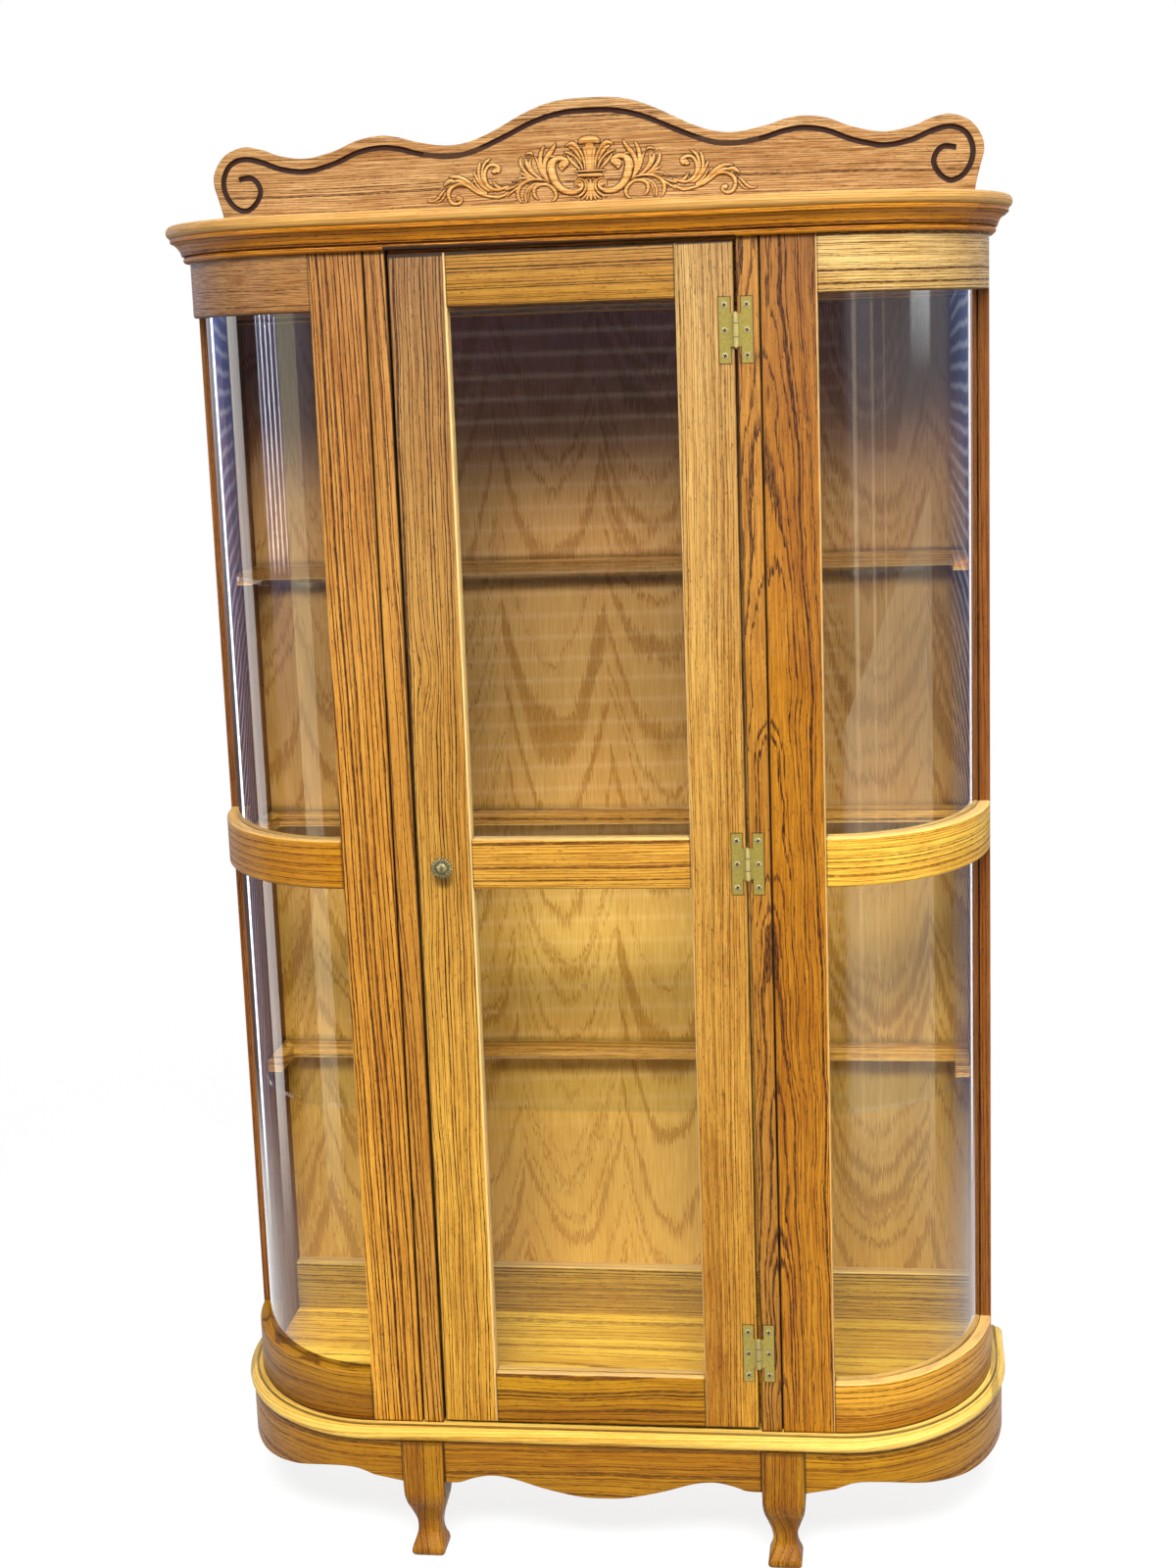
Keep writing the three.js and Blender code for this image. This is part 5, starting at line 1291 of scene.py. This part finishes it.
    "archB": (2.6, [(-52.6, 22.9, 0.4), (-61, 23.1, 0.8), (-67.9, 22.9, 1.1), (-74.2, 20.3, 1.4), (-78.7, 16, 1.5),
        (-81.1, 10.8, 1.7), (-81.5, 5.9, 1.5), (-80.1, 1.4, 0.7)]),
    "archC": (2.2, [(-71.4, 19.8, 0.6), (-75.2, 16, 1), (-77.3, 11.1, 1.1), (-78.3, 5.9, 1), (-77.3, 2.4, 0.4)]),
    "ringArch": (3.4, [(-65.8, 4, 0.7), (-69.3, 7.3, 1.9), (-70.8, 12.2, 2.2), (-69.7, 17.4, 2.2), (-65.1, 20.6, 2.1),
        (-58.9, 21.5, 1.9), (-52.6, 20.5, 1.9), (-47.8, 17, 2.1), (-44.3, 12.5, 2.4), (-43.3, 7.6, 2.4),
        (-45, 3.5, 1.8), (-48.5, 0.7, 0.7)]),
}
carving = {
    "lift": 0.0185, "cell": 0.75, "rim": 1.15, "skin": 0.07, "hidden": -0.7, "back": 1.2, "half": 207.0,
    "bottom": -3.5, "top": 70.0, "crown": 9.0, "crownAt": 118.0, "crownFade": 20.0, "finest": 0.5,
    "thinnest": 0.35, "shade": 0.62, "shadeCurve": 1.5, "moreRows": 8, "same": 1e-6,
}


def carvingRelief(across, x, h):
    # how far each point of the grid is raised by the strokes, and how dark the shade painted in its recesses is
    raised, hollow = np.full(x.shape, carving["hidden"]), np.ones(x.shape)
    for relief, stroke in carvingStrokes.values():
        length = sum(math.dist(a[:2], b[:2]) for a, b in zip(stroke, stroke[1:]))
        steps = max(2, math.ceil(length / (len(stroke) - 1) / carving["finest"]))
        widest = max(wide for *_, wide in stroke)
        for middle, height, wide in splineThrough(stroke, steps):
            wide = max(wide, carving["thinnest"])
            local = relief * min(1.0, (wide / widest) ** 0.5)
            reach = wide + carving["rim"]
            for place in (middle, -middle):
                columns = slice(*np.searchsorted(across, (place - reach, place + reach)))
                away = np.hypot(x[:, columns] - place, h[:, columns] - height)
                near = away / wide
                dome = local * np.sqrt(np.clip(1 - near ** 2, 0, 1)) + carving["skin"]
                shape = np.where(away < wide, dome, np.where(away < reach, carving["skin"], carving["hidden"]))
                shade = np.clip((near - carving["shade"]) / (1 - carving["shade"]), 0, 1) ** carving["shadeCurve"]
                dark = np.where(away < wide, shade, 1.0)
                old, oldDark = raised[:, columns], hollow[:, columns]
                same = np.where(np.abs(shape - old) <= carving["same"], np.minimum(dark, oldDark), oldDark)
                better = shape > old + carving["same"]
                hollow[:, columns] = np.where(better, dark, same)
                raised[:, columns] = np.where(better, shape, old)
    return raised, hollow


def makeCarving():
    front, foot = low("crest_board").y * 1000, (capTop + carving["lift"]) * 1000
    bottom, top, cell = carving["bottom"], carving["top"], carving["cell"]
    across = np.arange(-carving["half"], carving["half"] + 0.1, cell)
    crown = np.clip((carving["crownAt"] - np.abs(across)) / carving["crownFade"], 0, 1)
    tops = top + carving["crown"] * crown
    rows, count = int((top - bottom) / cell) + carving["moreRows"], len(across)
    x = np.repeat(across[None, :], rows, axis=0)
    h = bottom + np.linspace(0, 1, rows)[:, None] * (tops - bottom)
    raised, hollow = carvingRelief(across, x, h)
    grid = np.stack([x, front - raised, foot + h], axis=-1).reshape(-1, 3)
    behind = np.full(count, front + carving["back"])
    edges = [np.stack([across, behind, foot + level], axis=-1) for level in (np.full(count, bottom), tops)]
    points = np.concatenate([grid, *edges]) / 1000
    first = rows * count
    second, lastRow = first + count, first - count
    faces = [(r + c, r + c + 1, r + count + c + 1, r + count + c)
             for r in range(0, lastRow, count) for c in range(count - 1)]
    for c in range(count - 1):
        faces += [(c + 1, c, first + c, first + c + 1), (lastRow + c, lastRow + c + 1, second + c + 1, second + c),
                  (first + c + 1, first + c, second + c, second + c + 1)]
    faces.append((first, *range(0, first, count), second))
    faces.append((second + count - 1, *range(first - 1, 0, -count), second - 1))
    relief = linkObject("crest_carving_relief", meshOf("crest_carving_relief", points.tolist(), faces), oak["carving"])
    markHollow(relief.data, np.concatenate([hollow.ravel(), np.ones(2 * count)]))
    settle(relief, "root", "oak_carving", "crest_carving", angle=60)


# Brass: knob, hinges and screws

def turnedFaces(rows, count):
    # faces of a middle point with rings of points round it
    return [(0, 1 + i, 1 + (i + 1) % count) for i in range(count)] + ringFaces(rows, count, 1)


knob = {
    "profile": [(0.008, 0), (0.008, 0.0015), (0.0064, 0.0027), (0.0052, 0.0046), (0.0046, 0.008), (0.0049, 0.0105),
                (0.0062, 0.0128), (0.0095, 0.0145), (0.0112, 0.0153), (0.0124, 0.0160), (0.0127, 0.0168),
                (0.0124, 0.0177), (0.0115, 0.0183), (0.0104, 0.0187), (0.0082, 0.0190), (0.0069, 0.0184),
                (0.0063, 0.0190), (0.0053, 0.0202), (0.0031, 0.0213)],
    "tip": 0.0218, "steps": 120, "notches": 20, "notchDeep": 0.0007, "notchIn": 0.00028, "notchRows": range(9, 15),
    "ringRow": 15, "shade": 0.9,
}


def makeKnob():
    middle = (low("door_knob") + high("door_knob")) / 2
    front, steps, rows = plan["front"], knob["steps"], len(knob["profile"])
    points, hollow = [(middle.x, front, middle.z)], [0.0]
    for row, (radius, depth) in enumerate(knob["profile"]):
        for i in range(steps):
            turn = 2 * math.pi * i / steps
            notch = max(0.0, math.cos(turn * knob["notches"])) ** 2 if row in knob["notchRows"] else 0.0
            out = radius - notch * knob["notchIn"]
            points.append((middle.x + out * math.cos(turn), front - depth + notch * knob["notchDeep"],
                           middle.z + out * math.sin(turn)))
            # painted shade in the ring groove and the notches
            hollow.append(knob["shade"] * (1.0 if row == knob["ringRow"] else notch))
    points.append((middle.x, front - knob["tip"], middle.z))
    tip, last = rows * steps + 1, (rows - 1) * steps + 1
    faces = turnedFaces(rows, steps) + [(tip, last + (i + 1) % steps, last + i) for i in range(steps)]
    obj = closedSolid("door_knob_turned", points, faces, knobBrass)
    markHollow(obj.data, hollow + [0.0])
    settle(obj, "door", "brass", "door_knob", angle=60)


# Hinge screws, three to a leaf
screw = {
    "across": 0.01235, "apart": 0.0277, "leafOut": 0.0014, "radius": 0.0036, "dome": 0.0010, "curve": 2.5,
    "rim": 0.0002, "rimShade": 0.6, "sink": 0.0006, "slotLong": 0.0023, "slotHalf": 0.00058, "slotDeep": 0.0007,
    "rings": 16, "steps": 48, "seed": 7,
}


def screwHead():
    # a domed head with a crossed recess, standing on its middle and facing the front
    points, hollow = [], []
    steps, rings = screw["steps"], screw["rings"]
    for ring in range(rings + 1):
        radius = screw["radius"] * ring / rings
        for i in range(steps if ring else 1):
            turn = 2 * math.pi * i / steps
            x, z = radius * math.cos(turn), radius * math.sin(turn)
            arm = min(abs(x), abs(z)) < screw["slotHalf"] and radius < screw["slotLong"]
            out = screw["dome"] * (1 - (radius / screw["radius"]) ** screw["curve"]) + screw["rim"]
            points.append((x, -(out - screw["slotDeep"] if arm else out), z))
            # painted shade in the crossed recess, and a lighter painted shade round the rim
            hollow.append(1.0 if arm else (screw["rimShade"] if ring == rings else 0.0))
    rim = len(points)
    points += [(x, screw["sink"], z) for x, _, z in points[-steps:]]
    faces = [*turnedFaces(rings + 1, steps), tuple(range(rim, rim + steps))]
    obj = closedSolid("screw_head", points, faces, screwBrass)
    markHollow(obj.data, hollow + [1.0] * steps)
    return obj


def makeScrewTree():
    sockets = {"Geometry": "Geometry", "Head": "Object", "Seed": "Int", "Material": "Material"}
    tree, given = startGroup("screwsOnPoints", "GeometryNodeTree", sockets, {"Geometry": "Geometry"})
    head = node("GeometryNodeObjectInfo", {"Object": given["Head"]})["Geometry"]
    turn = node("FunctionNodeRandomValue", {2: 0.0, 3: math.pi / 2, "Seed": given["Seed"]}, data_type="FLOAT")[1]
    placed = node("GeometryNodeInstanceOnPoints", {"Points": given["Geometry"], "Instance": head,
                                                   "Rotation": combined(0.0, turn)})[0]
    finishGroup(placed, given["Material"])
    return tree


def makeScrews():
    tree, head = makeScrewTree(), screwHead()
    for side, body, leaf in ((-1, "door", "door"), (1, "root", "frame")):
        places = []
        for level in levels:
            middle = middleHeight(level + "_hinge_" + leaf + "_leaf")
            axis = (low(level + "_hinge_door_leaf").x + high(level + "_hinge_frame_leaf").x) / 2
            places += [(axis + side * screw["across"], plan["front"] - screw["leafOut"], middle + up * screw["apart"])
                       for up in (-1, 0, 1)]
        name = "hinge_screws_" + leaf
        obj = shaped(linkObject(name, meshOf(name, places, [])), tree, Head=head, Seed=screw["seed"] + side,
                     Material=screwBrass)
        settle(obj, body, "brass", angle=40)
    bpy.data.objects.remove(head)


def keepNodes():
    # CAD nodes whose shape is already right only take a better material
    kept = {
        "side_board_right": oak["sideBoard"], "side_board_left": oak["sideBoard"], "back_panel": oak["backPanel"],
        "deck": oak["deck"], "case_top": oak["caseTop"],
        "door_lower_glass": clearGlass, "door_upper_glass": clearGlass,
        "magnetic_catch": oak["cleat"], "catch_plate": agedBrass,
        **{level + "_hinge_" + leaf + "_leaf": agedBrass for level in levels for leaf in ("frame", "door")},
    }
    for name, material in kept.items():
        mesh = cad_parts[name].data
        mesh.materials.clear()
        mesh.materials.append(material)


makeBase()
makeAprons()
makeLeg(1, "front_leg_right", "legRight")
makeLeg(-1, "front_leg_left", "legLeft")
print("base made")
makeRails()
makeBowGlass()
makeCornice()
makeCap()
makeShelves()
print("rails, glass and cornice made")
makeEasedBoards()
print("boards made")
makeCrest()
makeCarving()
makeKnob()
makeScrews()
keepNodes()
print("crest and brass made")
